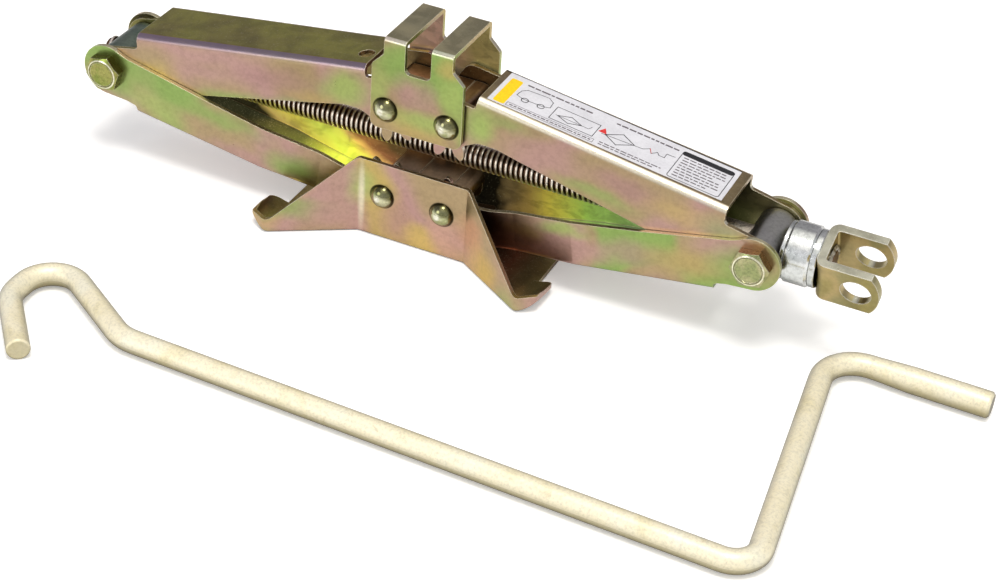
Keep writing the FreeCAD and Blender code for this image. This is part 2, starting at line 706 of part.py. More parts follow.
def bearing_cup():
    """Sleeve open toward the trunnion, closed by an annular wall."""
    start = STACK_X + 2.65
    return turned([
        (start, CUP_BORE), (start, CUP_R - 0.5), (start + 0.6, CUP_R), (CUP_END - 1.2, CUP_R),
        (CUP_END, CUP_R - 1.2), (CUP_END, SCREW_R), (CUP_WALL_X, SCREW_R),
        (CUP_WALL_X, CUP_BORE)])


save("washer_trunnion", washer(STACK_X, STACK_X + 2.4, RACE_BORE, STACK_R, chamfer=0.4))
save("bearing_race_fixed", washer(STACK_X + 2.4, STACK_X + 5.1, RACE_BORE, RACE_R))
save("bearing_balls", bearing_balls())
save("bearing_cage", bearing_cage())
save("bearing_race_turning", washer(STACK_X + 9.3, CUP_WALL_X, SCREW_R, RACE_R))
save("bearing_cup", bearing_cup())
save("washer_yoke", washer(CUP_END, YOKE_START, SCREW_R, STACK_R, chamfer=0.5))


# --------------------------------------------------------------------- yoke
def make_yoke():
    """U with round-nosed ears, built with the ears facing Y, then rolled."""
    open_x = YOKE_END + 2
    inside_w, inside_x = YOKE_HALF_W - YOKE_SHEET, YOKE_START + YOKE_SHEET
    # Plan: x, y, corner radius
    plan = [(open_x, -YOKE_HALF_W, 0), (YOKE_START, -YOKE_HALF_W, 5.5),
            (YOKE_START, YOKE_HALF_W, 5.5), (open_x, YOKE_HALF_W, 0),
            (open_x, inside_w, 0), (inside_x, inside_w, 1.5),
            (inside_x, -inside_w, 1.5), (open_x, -inside_w, 0)]
    body = prism(plan, at_z(AXIS_H - 20), Vector(0, 0, 40))
    back = YOKE_START - 1
    nose = YOKE_END - YOKE_NOSE_R + math.sqrt(YOKE_NOSE_R ** 2 - YOKE_HALF_H ** 2)
    low, high = AXIS_H - YOKE_HALF_H, AXIS_H + YOKE_HALF_H
    ear = [((back, low), (nose, low)),
           ((nose, low), (YOKE_END, AXIS_H), (nose, high)),
           ((nose, high), (back, high)),
           ((back, high), (back, low))]
    body = body.common(Part.Face(wire_of(ear, at_y(-30))).extrude(Vector(0, 60, 0)))
    body = body.cut(cylinder((YOKE_HOLE_X, -30, AXIS_H), ACROSS, YOKE_HOLE_R, 60))
    body = body.cut(cylinder((YOKE_START - 5, 0, AXIS_H), ALONG, SCREW_R, 20))
    body.rotate(Vector(0, 0, AXIS_H), Vector(*ALONG), YOKE_ROLL)
    return merged(body)


def yoke_weld(yoke):
    """Weld bead round the screw end inside the yoke."""
    wall = YOKE_START + YOKE_SHEET
    bead = turned([(wall, SCREW_R), (wall, 9.4), (wall + 0.7, 9.1), (wall + 1.2, 8.4),
                   (wall + 1.4, SCREW_R)])
    return merged(bead.cut(yoke))


yoke = make_yoke()
save("yoke", yoke)
save("yoke_weld", yoke_weld(yoke))


# ------------------------------------------------------------- crank handle
def path_point(run, fraction):
    """Point on a straight run of the handle path."""
    (x0, y0, _), (x1, y1, _) = HANDLE_PATH[run], HANDLE_PATH[run + 1]
    return Vector(x0 + (x1 - x0) * fraction, y0 + (y1 - y0) * fraction, 0)


def bent_rod(start, end):
    """Round rod swept along the path, with rounded ends."""
    direction = (path_point(0, 1) - start).normalize()
    circle = Part.Wire(Part.makeCircle(ROD_R, start, direction))
    spine = wire_of(rounded(HANDLE_PATH, closed=False), at_z(0))
    rod = spine.makePipeShell([circle], True, True)
    # The sweep can come out inside out
    if rod.Volume < 0:
        rod.reverse()
    # The end fillet may fail or give a broken solid; the ends then stay sharp
    try:
        rims = [e for e in rod.Edges if e.Curve.TypeId == 'Part::GeomCircle'
                and (e.Curve.Center.distanceToPoint(start) < 0.01
                     or e.Curve.Center.distanceToPoint(end) < 0.01)]
        filleted = rod.makeFillet(HANDLE_ROUND, rims)
        if filleted.isValid():
            rod = filleted
    except Exception:
        pass
    return rod


def handle_grip(start, end):
    """Grip that swells over a long taper."""
    direction = (end - start).normalize()
    normal = Vector(-direction.y, direction.x, 0)
    length = (end - start).Length
    profile = [(0, 0), (0, ROD_R - 0.05), (GRIP_TAPER, GRIP_R),
               (length - HANDLE_ROUND, GRIP_R), (length, GRIP_R - HANDLE_ROUND),
               (length, 0), (0, 0)]
    points = [start + direction * along + normal * radius for along, radius in profile]
    return Part.Face(Part.makePolygon(points)).revolve(start, direction, 360)


def crank_handle():
    """Hook, main rod, throw and grip, drawn flat and tipped so rod and grip touch ground."""
    grip_run = len(HANDLE_PATH) - 2
    end = path_point(grip_run, 1.0)
    rod = bent_rod(path_point(0, 0.0), end)
    handle = merged(rod.fuse(handle_grip(path_point(grip_run, 0.28), end)))
    rod_y, grip_y = HANDLE_PATH[4][1], HANDLE_PATH[6][1]
    tilt = (GRIP_R - ROD_R) / (grip_y - rod_y)
    handle.rotate(Vector(0, rod_y, 0), Vector(*ALONG), math.degrees(tilt))
    handle.translate(Vector(0, 0, ROD_R))
    return handle


save("crank_handle", crank_handle())
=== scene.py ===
"""Looks and stage for a scissor jack.

The jack's length and its screw run along X, front is -Y, up is +Z, and the floor is at z = 0.
Frame units are metres; tables are in millimetres and are scaled by MM.
"""

import json
import math
import random

import bpy
import bmesh
from mathutils import Vector, Matrix


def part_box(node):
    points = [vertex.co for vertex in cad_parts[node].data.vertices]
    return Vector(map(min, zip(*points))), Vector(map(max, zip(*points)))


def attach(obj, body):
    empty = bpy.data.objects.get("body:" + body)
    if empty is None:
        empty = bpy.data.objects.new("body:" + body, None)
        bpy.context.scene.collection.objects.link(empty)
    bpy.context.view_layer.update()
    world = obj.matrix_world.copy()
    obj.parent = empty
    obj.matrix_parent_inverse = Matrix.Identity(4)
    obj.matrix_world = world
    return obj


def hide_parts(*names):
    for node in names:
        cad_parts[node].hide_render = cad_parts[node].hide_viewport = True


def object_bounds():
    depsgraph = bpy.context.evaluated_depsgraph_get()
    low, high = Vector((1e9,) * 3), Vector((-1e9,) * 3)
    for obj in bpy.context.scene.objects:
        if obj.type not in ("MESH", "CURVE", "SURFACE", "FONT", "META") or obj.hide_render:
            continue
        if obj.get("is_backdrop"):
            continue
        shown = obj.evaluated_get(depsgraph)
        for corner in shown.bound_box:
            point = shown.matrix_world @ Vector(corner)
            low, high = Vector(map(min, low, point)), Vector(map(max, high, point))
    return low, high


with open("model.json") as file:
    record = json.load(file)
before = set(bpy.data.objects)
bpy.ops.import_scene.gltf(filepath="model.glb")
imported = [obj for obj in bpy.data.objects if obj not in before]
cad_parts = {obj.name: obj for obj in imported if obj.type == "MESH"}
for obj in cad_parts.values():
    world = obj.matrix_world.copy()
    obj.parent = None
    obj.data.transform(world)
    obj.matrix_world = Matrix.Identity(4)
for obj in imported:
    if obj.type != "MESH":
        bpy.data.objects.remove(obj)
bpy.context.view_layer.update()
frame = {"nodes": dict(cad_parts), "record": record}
dash_random = random.Random(7)

# ------------------------------------------------------------ driving places
MM = 0.001
PIVOTS = {joint["name"]: Vector(joint["pos_m"])
          for joint in frame["record"]["behaviour"]["joints"] if joint.get("pos_m")}
GEAR = PIVOTS["upper_right_fold"]
TRUNNION = PIVOTS["screw_spin"]
AXIS_Z = TRUNNION.z
TILT = math.atan2(GEAR.z - TRUNNION.z, TRUNNION.x - GEAR.x)

# along an arm that falls or rises to the right, and square to each of them
FALLING = (math.cos(TILT), 0, -math.sin(TILT))
RISING = (math.cos(TILT), 0, math.sin(TILT))
FALLING_UP = (math.sin(TILT), 0, math.cos(TILT))
RISING_UP = (-math.sin(TILT), 0, math.cos(TILT))

# heights in a lower arm, measured square to it; both arms give the same numbers
PIVOT_HEIGHT = Vector((-TRUNNION.x, 0, AXIS_Z)).dot(Vector(FALLING_UP))
FLOOR_TOP = PIVOT_HEIGHT - 18.8 * MM + 6.5 * MM    # parts the channel floor from its rims
LEAN_FROM = PIVOT_HEIGHT - 11.8 * MM

# colours shared by the zinc parts
GREEN = (0.29, 0.42, 0.125)
LIME = (0.40, 0.52, 0.16)
GOLD = (0.55, 0.42, 0.15)
TAN = (0.44, 0.33, 0.19)
PINK = (0.50, 0.315, 0.275)
ROSE = (0.46, 0.27, 0.26)
OLIVE = (0.20, 0.185, 0.065)
# painted shade for the middles of the channels, where the parts overlap
CENTRE_SHADE = (0.10, 0.062, 0.030)


# ------------------------------------------------------------ node builders
class Nodes:
    """Adds nodes to one tree. Any value may be a number, a tuple or an output socket."""

    def __init__(self, tree):
        self.tree = tree
        tree.nodes.clear()
        self.coords = self.node("ShaderNodeTexCoord")

    def put(self, socket, value):
        if hasattr(value, "is_linked"):
            self.tree.links.new(value, socket)
        elif isinstance(value, (tuple, list)) and len(value) == 3 and socket.type == "RGBA":
            socket.default_value = (*value, 1.0)
        else:
            socket.default_value = value

    def node(self, kind, inputs=None, **settings):
        node = self.tree.nodes.new(kind)
        for key, value in settings.items():
            setattr(node, key, value)
        for key, value in (inputs or {}).items():
            self.put(node.inputs[key], value)
        return node

    def math(self, operation, a, b=0.0):
        return self.node("ShaderNodeMath", {0: a, 1: b, 2: 0.0}, operation=operation).outputs[0]

    def plus(self, a, b):
        return self.math("ADD", a, b)

    def minus(self, a, b):
        return self.math("SUBTRACT", a, b)

    def times(self, a, b):
        return self.math("MULTIPLY", a, b)

    def vary(self, base, by, amount):
        return self.plus(base, self.times(by, amount))

    def away(self, value, target):
        """Distance between a value and a target."""
        return self.math("ABSOLUTE", self.minus(value, target))

    def reach(self, a, b):
        """Length of the flat vector (a, b)."""
        return self.math("SQRT", self.plus(self.times(a, a), self.times(b, b)))

    def vmath(self, operation, a, b=(0, 0, 0)):
        second = 3 if operation == "SCALE" else 1
        node = self.node("ShaderNodeVectorMath", {0: a, second: b}, operation=operation)
        return node.outputs[1 if operation in ("DOT_PRODUCT", "LENGTH") else 0]

    def sep(self, vector):
        return self.node("ShaderNodeSeparateXYZ", {0: vector}).outputs[:]

    def fade(self, value, span, to=(0.0, 1.0)):
        """Smooth step from to[0] at span[0] to to[1] at span[1]."""
        inputs = {"Value": value, "From Min": span[0], "From Max": span[1],
                  "To Min": to[0], "To Max": to[1]}
        return self.node("ShaderNodeMapRange", inputs, interpolation_type="SMOOTHSTEP").outputs[0]

    def mix(self, factor, a, b, blend="MIX"):
        node = self.node("ShaderNodeMix", data_type="RGBA", blend_type=blend)
        for index, value in ((0, factor), (6, a), (7, b)):
            self.put(node.inputs[index], value)
        return node.outputs[2]

    def multiply(self, colour, by):
        return self.mix(1.0, colour, by, "MULTIPLY")

    def ramp(self, by, stops, interpolation="EASE"):
        """Colour ramp; stops are (position, grey or colour)."""
        node = self.node("ShaderNodeValToRGB", {0: by})
        ramp = node.color_ramp
        ramp.interpolation = interpolation
        while len(ramp.elements) < len(stops):
            ramp.elements.new(0.5)
        for element, (position, colour) in zip(ramp.elements, stops):
            element.position = position
            grey = isinstance(colour, (int, float))
            element.color = (colour, colour, colour, 1) if grey else (*colour, 1)
        return node.outputs[0]

    def shade(self, colour, by, stops):
        """Multiply a colour by a grey ramp."""
        return self.multiply(colour, self.ramp(by, stops))

    def tint(self, colour, by, stops, other):
        """Mix another colour in, as much as a grey ramp says."""
        return self.mix(self.ramp(by, stops), colour, other)


class Material(Nodes):
    """One object-space material; shift moves its noises so that parts differ."""

    def __init__(self, name, shift=None):
        self.material = bpy.data.materials.new(name)
        self.material.use_nodes = True
        super().__init__(self.material.node_tree)
        self.place = self.coords.outputs["Object"]
        self.normal = self.coords.outputs["Normal"]
        self.spot = self.vmath("ADD", self.place, shift) if shift else self.place

    def noise(self, scale, detail=3.0, rough=0.5, twist=0.0, stretch=None, output=0):
        spot = self.spot
        if stretch:
            spot = self.node("ShaderNodeMapping", {"Vector": spot, "Scale": stretch}).outputs[0]
        inputs = {"Vector": spot, "Scale": scale, "Detail": detail, "Roughness": rough,
                  "Distortion": twist}
        return self.node("ShaderNodeTexNoise", inputs).outputs[output]

    def surface_normal(self, kind="Normal"):
        return self.node("ShaderNodeNewGeometry").outputs[kind]

    def soften(self, radius):
        """Normal with sharp edges rounded off."""
        return self.node("ShaderNodeBevel", {"Radius": radius}, samples=4).outputs[0]

    def edge_mask(self, soft):
        """High on sharp edges, where the softened normal leaves the true one."""
        match = self.vmath("DOT_PRODUCT", soft, self.surface_normal("True Normal"))
        return self.fade(match, span=(0.995, 0.80))

    def corner_shade(self, distance, low=0.25):
        """Painted shade: 1 in the open, down to low in corners and where pieces meet."""
        node = self.node("ShaderNodeAmbientOcclusion", {"Distance": distance}, samples=6)
        return self.fade(node.outputs["AO"], span=(0.05, 0.62), to=(low, 1.0))

    def facing(self, span, low):
        """Painted shade: 1 where the surface faces the viewer, down to low where it turns away."""
        node = self.node("ShaderNodeLayerWeight", {"Blend": 0.5})
        return self.fade(node.outputs["Facing"], span=span, to=(1.0, low))

    def bump(self, height, distance, strength, normal):
        inputs = {"Height": height, "Distance": distance, "Strength": strength, "Normal": normal}
        return self.node("ShaderNodeBump", inputs).outputs[0]

    def finish(self, colour, rough, metal=1.0, normal=None, extra=None):
        inputs = {"Base Color": colour, "Roughness": rough, "Metallic": metal, **(extra or {})}
        if normal is not None:
            inputs["Normal"] = normal
        shader = self.node("ShaderNodeBsdfPrincipled", inputs)
        self.node("ShaderNodeOutputMaterial", {0: shader.outputs[0]})
        return self.material


# ------------------------------------------------------------ yellow-passivated zinc
WARP = 14 * MM      # how far noise bends the patch outlines
NARROW = 3.5        # mm; patches with a smaller half length are not bent
RING_RADIUS = 7.1   # mm


class Zinc(Material):
    """Yellow-passivated zinc, built up in layers of colour, some of them painted light and shade.
    """

    def __init__(self, name, seed):
        super().__init__(name, shift=(seed * 0.37, seed * 0.21, seed * 0.13))
        self.speckle = self.noise(scale=1000.0, detail=4.0, rough=0.75)
        self.stain = self.noise(scale=75.0, detail=4.0, rough=0.6, twist=0.4,
                                stretch=(1.0, 1.0, 2.0))

    def along(self, distance, stations):
        """Colour by distance; stations are (mm, colour)."""
        start, end = stations[0][0], stations[-1][0]
        share = self.math("DIVIDE", self.minus(distance, start * MM), (end - start) * MM)
        stops = [((at - start) / (end - start), colour) for at, colour in stations]
        return self.ramp(share, stops, "LINEAR")

    def patches(self, colour, patches, long_axis):
        """Soft patches with their long side along long_axis."""
        ahead = Vector(long_axis).normalized()
        across = Vector((-ahead.z, 0, ahead.x))

        def flatten(spot):
            return self.node("ShaderNodeCombineXYZ", {
                0: self.vmath("DOT_PRODUCT", spot, tuple(ahead)),
                1: self.vmath("DOT_PRODUCT", spot, tuple(across))}).outputs[0]

        wave = self.noise(scale=42.0, detail=2.0, output=1)
        wave = self.vmath("SCALE", self.vmath("SUBTRACT", wave, (0.5, 0.5, 0.5)), WARP)
        bent = flatten(self.vmath("ADD", self.place, wave))
        for x, z, half_length, half_width, patch_colour, strength in patches:
            centre = Vector((x * MM, 0, z * MM))
            spot = flatten(self.place) if half_length < NARROW else bent
            offset = self.vmath("SUBTRACT", spot, (centre.dot(ahead), centre.dot(across), 0))
            offset = self.vmath("MULTIPLY", offset,
                                (1 / (half_length * MM), 1 / (half_width * MM), 0))
            blend = self.fade(self.vmath("LENGTH", offset), span=(1.25, 0.15), to=(0.0, strength))
            colour = self.mix(blend, colour, patch_colour)
        return colour

    def web(self, colour, up, tones, sheen, sheen_amount):
        """Speckled outer flat that faces up, and a painted sheen, a painted reflection, on the
        bend beside it.
        """
        match = self.vmath("DOT_PRODUCT", self.normal, up)
        flat = self.fade(match, span=(0.965, 0.997))
        # painted reflection on the bend beside the flat
        bend = self.times(self.fade(match, span=(0.20, 0.62)), self.fade(match, span=(1.0, 0.95)))
        bend = self.times(bend, self.ramp(self.speckle, [(0.40, 0.78), (0.60, 1.0)]))
        colour = self.mix(self.times(bend, sheen_amount), colour, sheen)
        cloud = self.noise(scale=26.0, rough=0.6)
        face = self.tint(tones[0], cloud, [(0.35, 0.0), (0.65, 1.0)], tones[1])
        face = self.shade(face, self.stain, [(0.36, 0.80), (0.60, 1.08)])
        face = self.tint(face, self.speckle, [(0.56, 0.0), (0.72, 0.5)], (0.86, 0.80, 0.62))
        return self.mix(flat, colour, face)

    def channel(self, colour, corner_shade, walls, glow, up=None, floor=None, floor_top=0.0, lean=0.0):
        """Paints light and shade as colour on the faces that look in to the middle plane, and on
        the channel floor.

        walls and floor are (x in mm, colour), painted light and shade; lean shifts the wall
        colours with height.
        Returns the colour and the faint glow of these faces, a painted light that stands in for
        light falling in.
        """
        x, y, _ = self.sep(self.place)
        inward = self.times(self.sep(self.normal)[1], self.math("SIGN", y))
        wall = self.fade(inward, span=(-0.5, -0.9))
        ripple = self.minus(self.noise(scale=60.0, detail=2.0), 0.5)
        distance = self.vary(base=x, by=ripple, amount=0.02)
        if lean:
            rise = self.minus(self.vmath("DOT_PRODUCT", self.place, up), LEAN_FROM)
            distance = self.vary(base=distance, by=rise, amount=lean)
        inside = self.along(distance, walls)
        inside = self.tint(inside, self.speckle, [(0.60, 0.0), (0.78, 0.5)], (1.0, 0.93, 0.55))
        inside = self.shade(inside, self.stain, [(0.36, 0.70), (0.55, 1.0)])
        colour = self.mix(wall, colour, inside)
        lit = wall
        if floor:
            match = self.vmath("DOT_PRODUCT", self.normal, up)
            self.faces_up = self.fade(match, span=(0.70, 0.95))
            self.height = self.vmath("DOT_PRODUCT", self.place, up)
            low = self.times(self.faces_up,
                             self.fade(self.height, span=(floor_top + 4 * MM, floor_top)))
            base = self.along(x, floor)
            base = self.tint(base, self.speckle, [(0.56, 0.0), (0.74, 0.6)], (1.0, 0.93, 0.60))
            base = self.shade(base, self.stain, [(0.36, 0.75), (0.55, 1.0)])
            colour = self.mix(low, colour, base)
            inside = self.mix(low, inside, base)
            lit = self.math("MAXIMUM", wall, self.times(low, 0.7))
        # painted glow, weaker where the painted corner shade is dark
        strength = self.times(self.times(lit, glow), corner_shade)
        return colour, {"Emission Color": inside, "Emission Strength": strength}

    def ring(self, colour, x, z):
        """Painted shadow: a dark line where a rivet head meets the sheet."""
        offset = self.vmath("SUBTRACT", self.place, (x * MM, 0, z * MM))
        radius = self.vmath("LENGTH", self.vmath("MULTIPLY", offset, (1, 0, 1)))
        line = self.fade(self.away(radius, RING_RADIUS * MM),
                         span=(0.55 * MM, 0.15 * MM), to=(0.0, 0.85))
        return self.mix(line, colour, (0.05, 0.045, 0.02))

    def rim(self, colour, edge, stations):
        """Cut edge along the open side of a channel, with painted highlight and shade along it; it
        also weakens the edge mask.
        """
        mask = self.times(self.faces_up,
                          self.fade(self.height, span=(FLOOR_TOP, FLOOR_TOP + 4 * MM)))
        cut = self.along(self.sep(self.place)[0], stations)
        cut = self.tint(cut, self.speckle, [(0.52, 0.0), (0.64, 0.8)], (1.0, 0.95, 0.74))
        edge = self.times(edge, self.minus(1.0, self.times(mask, 0.55)))
        return self.mix(mask, colour, cut), edge


def zinc(name, base, seed, patches=(), long_axis=(1, 0, 0), drift=15.0, grain=0.5,
         edge_width=0.6 * MM, edge_highlight=(0.92, 0.85, 0.62), edge_amount=0.80,
         web=None, channel=None, rim=None, rings=()):
    """Zinc material: base is a colour ramp, drift its noise scale, grain the mottling."""
    mat = Zinc(name, seed)
    soft = mat.soften(edge_width)
    edge = mat.edge_mask(soft)
    corner_shade = mat.corner_shade(9 * MM)
    glow = None
    colour = mat.ramp(mat.noise(scale=drift, detail=1.0, rough=0.4, twist=0.4), base)
    if patches:
        colour = mat.patches(colour, patches, long_axis)
    mottle = mat.noise(scale=420.0, rough=0.6)
    colour = mat.shade(colour, mottle, [(0.32, 1 - 0.13 * grain), (0.62, 1.04)])
    colour = mat.shade(colour, mat.stain, [(0.34, 1 - 0.16 * grain), (0.50, 1.0)])
    if web:
        colour = mat.web(colour, **web)
    if channel:
        colour, glow = mat.channel(colour, corner_shade, **channel)
    for x, z in rings:
        colour = mat.ring(colour, x, z)
    # painted shade in corners and where pieces meet
    colour = mat.multiply(colour, corner_shade)
    if rim:
        colour, edge = mat.rim(colour, edge, rim)
    # painted highlight along the sharp edges
    colour = mat.mix(mat.times(edge, edge_amount), colour, edge_highlight)
    rough = mat.vary(base=0.23, by=mat.noise(scale=130.0, rough=0.6), amount=0.16)
    height = mat.plus(mat.times(mat.noise(scale=230.0, detail=2.0), 0.7),
                      mat.times(mat.speckle, 0.30))
    return mat.finish(colour, rough, metal=mat.minus(1.0, mat.times(edge, 0.8)), extra=glow,
                      normal=mat.bump(height, distance=0.00012, strength=0.5, normal=soft))


# ------------------------------------------------------------ turned and plated steel
def steel_shift(seed):
    return (seed * 0.3, seed * 0.2, seed * 0.1)


LINES_X = (2600.0, 90.0, 90.0)    # noise stretch that draws fine turning lines round X
LINES_Y = (90.0, 2600.0, 90.0)


def turned(name, colour_a, colour_b, rough, seed, lines=LINES_X, edge_width=0.4 * MM, top=None):
    """Machined or plated steel; top is a painted light colour for upward faces."""
    mat = Material(name, shift=steel_shift(seed))
    soft = mat.soften(edge_width)
    edge = mat.edge_mask(soft)
    turning = mat.noise(scale=1.0, rough=0.6, stretch=lines)
    cloud = mat.noise(scale=70.0, twist=0.5)
    colour = mat.tint(colour_a, cloud, [(0.35, 0.0), (0.65, 1.0)], colour_b)
    if top:
        upward = mat.sep(mat.normal)[2]
        colour = mat.mix(mat.fade(upward, span=(0.2, 0.9), to=(0.0, 0.8)), colour, top)
    fine = mat.noise(scale=500.0, detail=4.0, rough=0.6)
    colour = mat.shade(colour, fine, [(0.30, 0.84), (0.60, 1.04)])
    # painted shade in corners and where pieces meet
    colour = mat.multiply(colour, mat.corner_shade(6 * MM, low=0.3))
    # painted shade where the surface turns away from the view
    colour = mat.multiply(colour, mat.facing(span=(0.40, 0.95), low=0.55))
    # painted highlight along the sharp edges
    colour = mat.mix(mat.times(edge, 0.75), colour, (0.95, 0.93, 0.88))
    height = mat.plus(mat.times(turning, 0.5), mat.times(fine, 0.4))
    return mat.finish(colour, rough=mat.vary(base=rough - 0.08, by=turning, amount=0.2),
                      normal=mat.bump(height, distance=0.00008, strength=0.5, normal=soft))


def dome_reflection(mat, colour, side, x, z, reach, radius):
    """Painted reflection on a domed head: dark low and high, a painted highlight near the crown
    and a painted shadow round the rim.
    """
    low = mat.fade(mat.minus(z, mat.times(x, -0.35)), span=(1.5 * MM, -4.5 * MM))
    colour = mat.mix(mat.times(low, 0.65), colour, side)
    outer = mat.fade(reach, span=(0.62 * radius, 0.90 * radius), to=(0.0, 0.72))
    colour = mat.mix(outer, colour, side)
    high = mat.vary(base=z, by=x, amount=0.45)
    colour = mat.mix(mat.fade(high, span=(1.4 * MM, 3.6 * MM), to=(0.0, 0.75)), colour, side)
    spot = mat.reach(mat.plus(x, 0.9 * MM), mat.minus(z, 0.4 * MM))
    spot = mat.fade(spot, span=(2.6 * MM, 0.8 * MM), to=(0.0, 0.85))
    colour = mat.mix(spot, colour, (1.0, 0.99, 0.86))
    rim = mat.fade(reach, span=(radius - 1.1 * MM, radius - 0.3 * MM), to=(0.0, 0.9))
    return mat.mix(rim, colour, (0.03, 0.027, 0.012))


def flat_colour(mat, colour, side, reach, radius):
    """Flat head: a painted highlight ring just outside the radius and a dark one just inside."""
    facing_y = mat.math("ABSOLUTE", mat.sep(mat.normal)[1])
    colour = mat.mix(mat.fade(facing_y, span=(0.75, 0.35)), colour, side)
    bright = mat.fade(mat.away(reach, radius + 0.35 * MM),
                      span=(0.55 * MM, 0.15 * MM), to=(0.0, 0.85))
    colour = mat.mix(bright, colour, (1.0, 0.97, 0.78))
    dark = mat.fade(mat.away(reach, radius - 0.45 * MM),
                    span=(0.40 * MM, 0.10 * MM), to=(0.0, 0.7))
    return mat.mix(dark, colour, (0.10, 0.09, 0.03))


def fastener(name, face, side, radius, centre, seed, dome):
    """Rivet or bolt head, coloured by the distance from its centre, with painted reflections and
    highlights.
    """
    mat = Material(name, shift=steel_shift(seed))
    soft = mat.soften(0.35 * MM)
    place_x, _, place_z = mat.sep(mat.place)
    x = mat.minus(place_x, centre.x)
    z = mat.minus(place_z, centre.z)
    reach = mat.reach(x, z)
    colour = mat.ramp(mat.noise(scale=120.0, detail=2.0), list(zip((0.35, 0.55, 0.70), face)))
    if dome:
        colour = dome_reflection(mat, colour, side, x, z, reach, radius)
    else:
        colour = flat_colour(mat, colour, side, reach, radius)
    fine = mat.noise(scale=700.0, detail=4.0, rough=0.6)
    colour = mat.shade(colour, fine, [(0.30, 0.76), (0.62, 1.06)])
    if not dome:
        # painted highlight along the sharp edges
        colour = mat.mix(mat.times(mat.edge_mask(soft), 0.8), colour, (1.0, 0.97, 0.78))
    rough = mat.vary(base=0.10 if dome else 0.20, by=mat.noise(scale=260.0, rough=0.6),
                     amount=0.14)
    height = mat.plus(fine, mat.noise(scale=300.0, detail=2.0))
    return mat.finish(colour, rough,
                      normal=mat.bump(height, distance=0.00008, strength=0.4, normal=soft))


# ------------------------------------------------------------ rod, label and ink
def rod_material():
    mat = Material("zinc_rod")
    soft = mat.soften(0.6 * MM)
    colour = mat.ramp(mat.noise(scale=45.0, detail=4.0, rough=0.55, twist=0.4), [
        (0.30, (0.84, 0.76, 0.50)), (0.50, (0.92, 0.85, 0.63)), (0.70, (0.90, 0.86, 0.68))])
    fine = mat.noise(scale=650.0, detail=4.0, rough=0.65)
    colour = mat.shade(colour, fine, [(0.28, 0.84), (0.60, 1.04)])
    dirt = mat.noise(scale=120.0, detail=6.0, rough=0.7, twist=0.6)
    colour = mat.tint(colour, dirt, [(0.60, 0.0), (0.74, 0.55)], (0.50, 0.40, 0.20))
    # painted shade on the faces that turn down
    underside_shade = mat.fade(mat.sep(mat.normal)[2], span=(0.52, -0.42), to=(0.0, 0.9))
    colour = mat.mix(underside_shade, colour, (0.30, 0.255, 0.12))
    # painted shade where the rod turns away from the view
    colour = mat.multiply(colour, mat.facing(span=(0.38, 0.95), low=0.34))
    height = mat.plus(mat.times(fine, 0.5), mat.times(mat.noise(scale=180.0), 0.7))
    return mat.finish(colour, rough=mat.vary(base=0.34, by=fine, amount=0.22), metal=0.25,
                      normal=mat.bump(height, distance=0.00018, strength=0.6, normal=soft))


def label_material():
    mat = Material("label_film")
    colour = mat.ramp(mat.noise(scale=90.0, detail=4.0, rough=0.6),
                      [(0.30, (0.68, 0.68, 0.72)), (0.65, (0.76, 0.76, 0.80))])
    fine = mat.noise(scale=800.0, detail=4.0, rough=0.6)
    colour = mat.shade(colour, fine, [(0.30, 0.94), (0.60, 1.02)])
    scuff = mat.noise(scale=1.0, detail=4.0, rough=0.7, stretch=(200.0, 1500.0, 200.0))
    return mat.finish(colour, rough=mat.vary(base=0.30, by=scuff, amount=0.18), metal=0.0,
                      normal=mat.bump(mat.noise(scale=300.0, detail=2.0), distance=0.00006,
                                      strength=0.35, normal=mat.surface_normal()))


def ink_material(name, ink_colour, rough):
    mat = Material(name)
    fine = mat.noise(scale=700.0, rough=0.6)
    colour = mat.shade(ink_colour, fine, [(0.3, 0.90), (0.65, 1.04)])
    return mat.finish(colour, rough=mat.vary(base=rough, by=fine, amount=0.12), metal=0.0,
                      normal=mat.bump(fine, distance=0.00003, strength=0.3,
                                      normal=mat.surface_normal()))


# ------------------------------------------------------------ materials of the frame parts
# patches: x, z, half length, half width (mm), colour, strength
# walls, floor and rim: x (mm), colour; these colours are painted light and shade inside the
# channels
SOFT = [(0.36, TAN), (0.50, PINK), (0.64, TAN)]
SOFT_GREEN = [(0.30, TAN), (0.42, PINK), (0.54, TAN), (0.64, GREEN)]
materials = {}

materials["upper_left_arm"] = zinc(
    "zinc_upper_left", SOFT, seed=1.0, long_axis=RISING,
    patches=[
        (-160, 62, 16, 7, GOLD, 0.7), (-112, 56, 30, 7, GREEN, 0.85),
        (-132, 68, 26, 7, PINK, 0.8), (-92, 77, 30, 8, ROSE, 0.6), (-60, 74, 26, 6, GOLD, 0.5),
        (-44, 84, 17, 13, LIME, 0.9), (-72, 66, 24, 5, GREEN, 0.45)],
    web=dict(up=RISING_UP, tones=[(0.40, 0.375, 0.080), (0.31, 0.265, 0.075)],
             sheen=(0.31, 0.265, 0.33), sheen_amount=0.85),
    channel=dict(glow=0.10, walls=[
        (-190, OLIVE), (-120, (0.40, 0.34, 0.10)), (-40, (0.22, 0.16, 0.07)), (0, CENTRE_SHADE)]))

materials["upper_right_arm"] = zinc(
    "zinc_upper_right", SOFT, seed=2.3, long_axis=FALLING,
    patches=[
        (34, 86, 14, 14, LIME, 0.95), (52, 92, 14, 6, GREEN, 0.5), (74, 80, 26, 10, PINK, 0.85),
        (104, 66, 26, 6, GREEN, 0.60), (120, 76, 26, 9, ROSE, 0.7), (150, 70, 20, 9, GOLD, 0.6),
        (176, 66, 16, 9, (0.36, 0.37, 0.20), 0.8)],
    web=dict(up=FALLING_UP, tones=[(0.42, 0.32, 0.17), (0.32, 0.24, 0.14)],
             sheen=(0.95, 0.91, 0.76), sheen_amount=0.80),
    channel=dict(glow=0.05, walls=[
        (0, CENTRE_SHADE), (60, (0.28, 0.20, 0.09)), (125, (0.12, 0.10, 0.04)),
        (165, (0.07, 0.06, 0.025)), (200, (0.40, 0.36, 0.19))]))

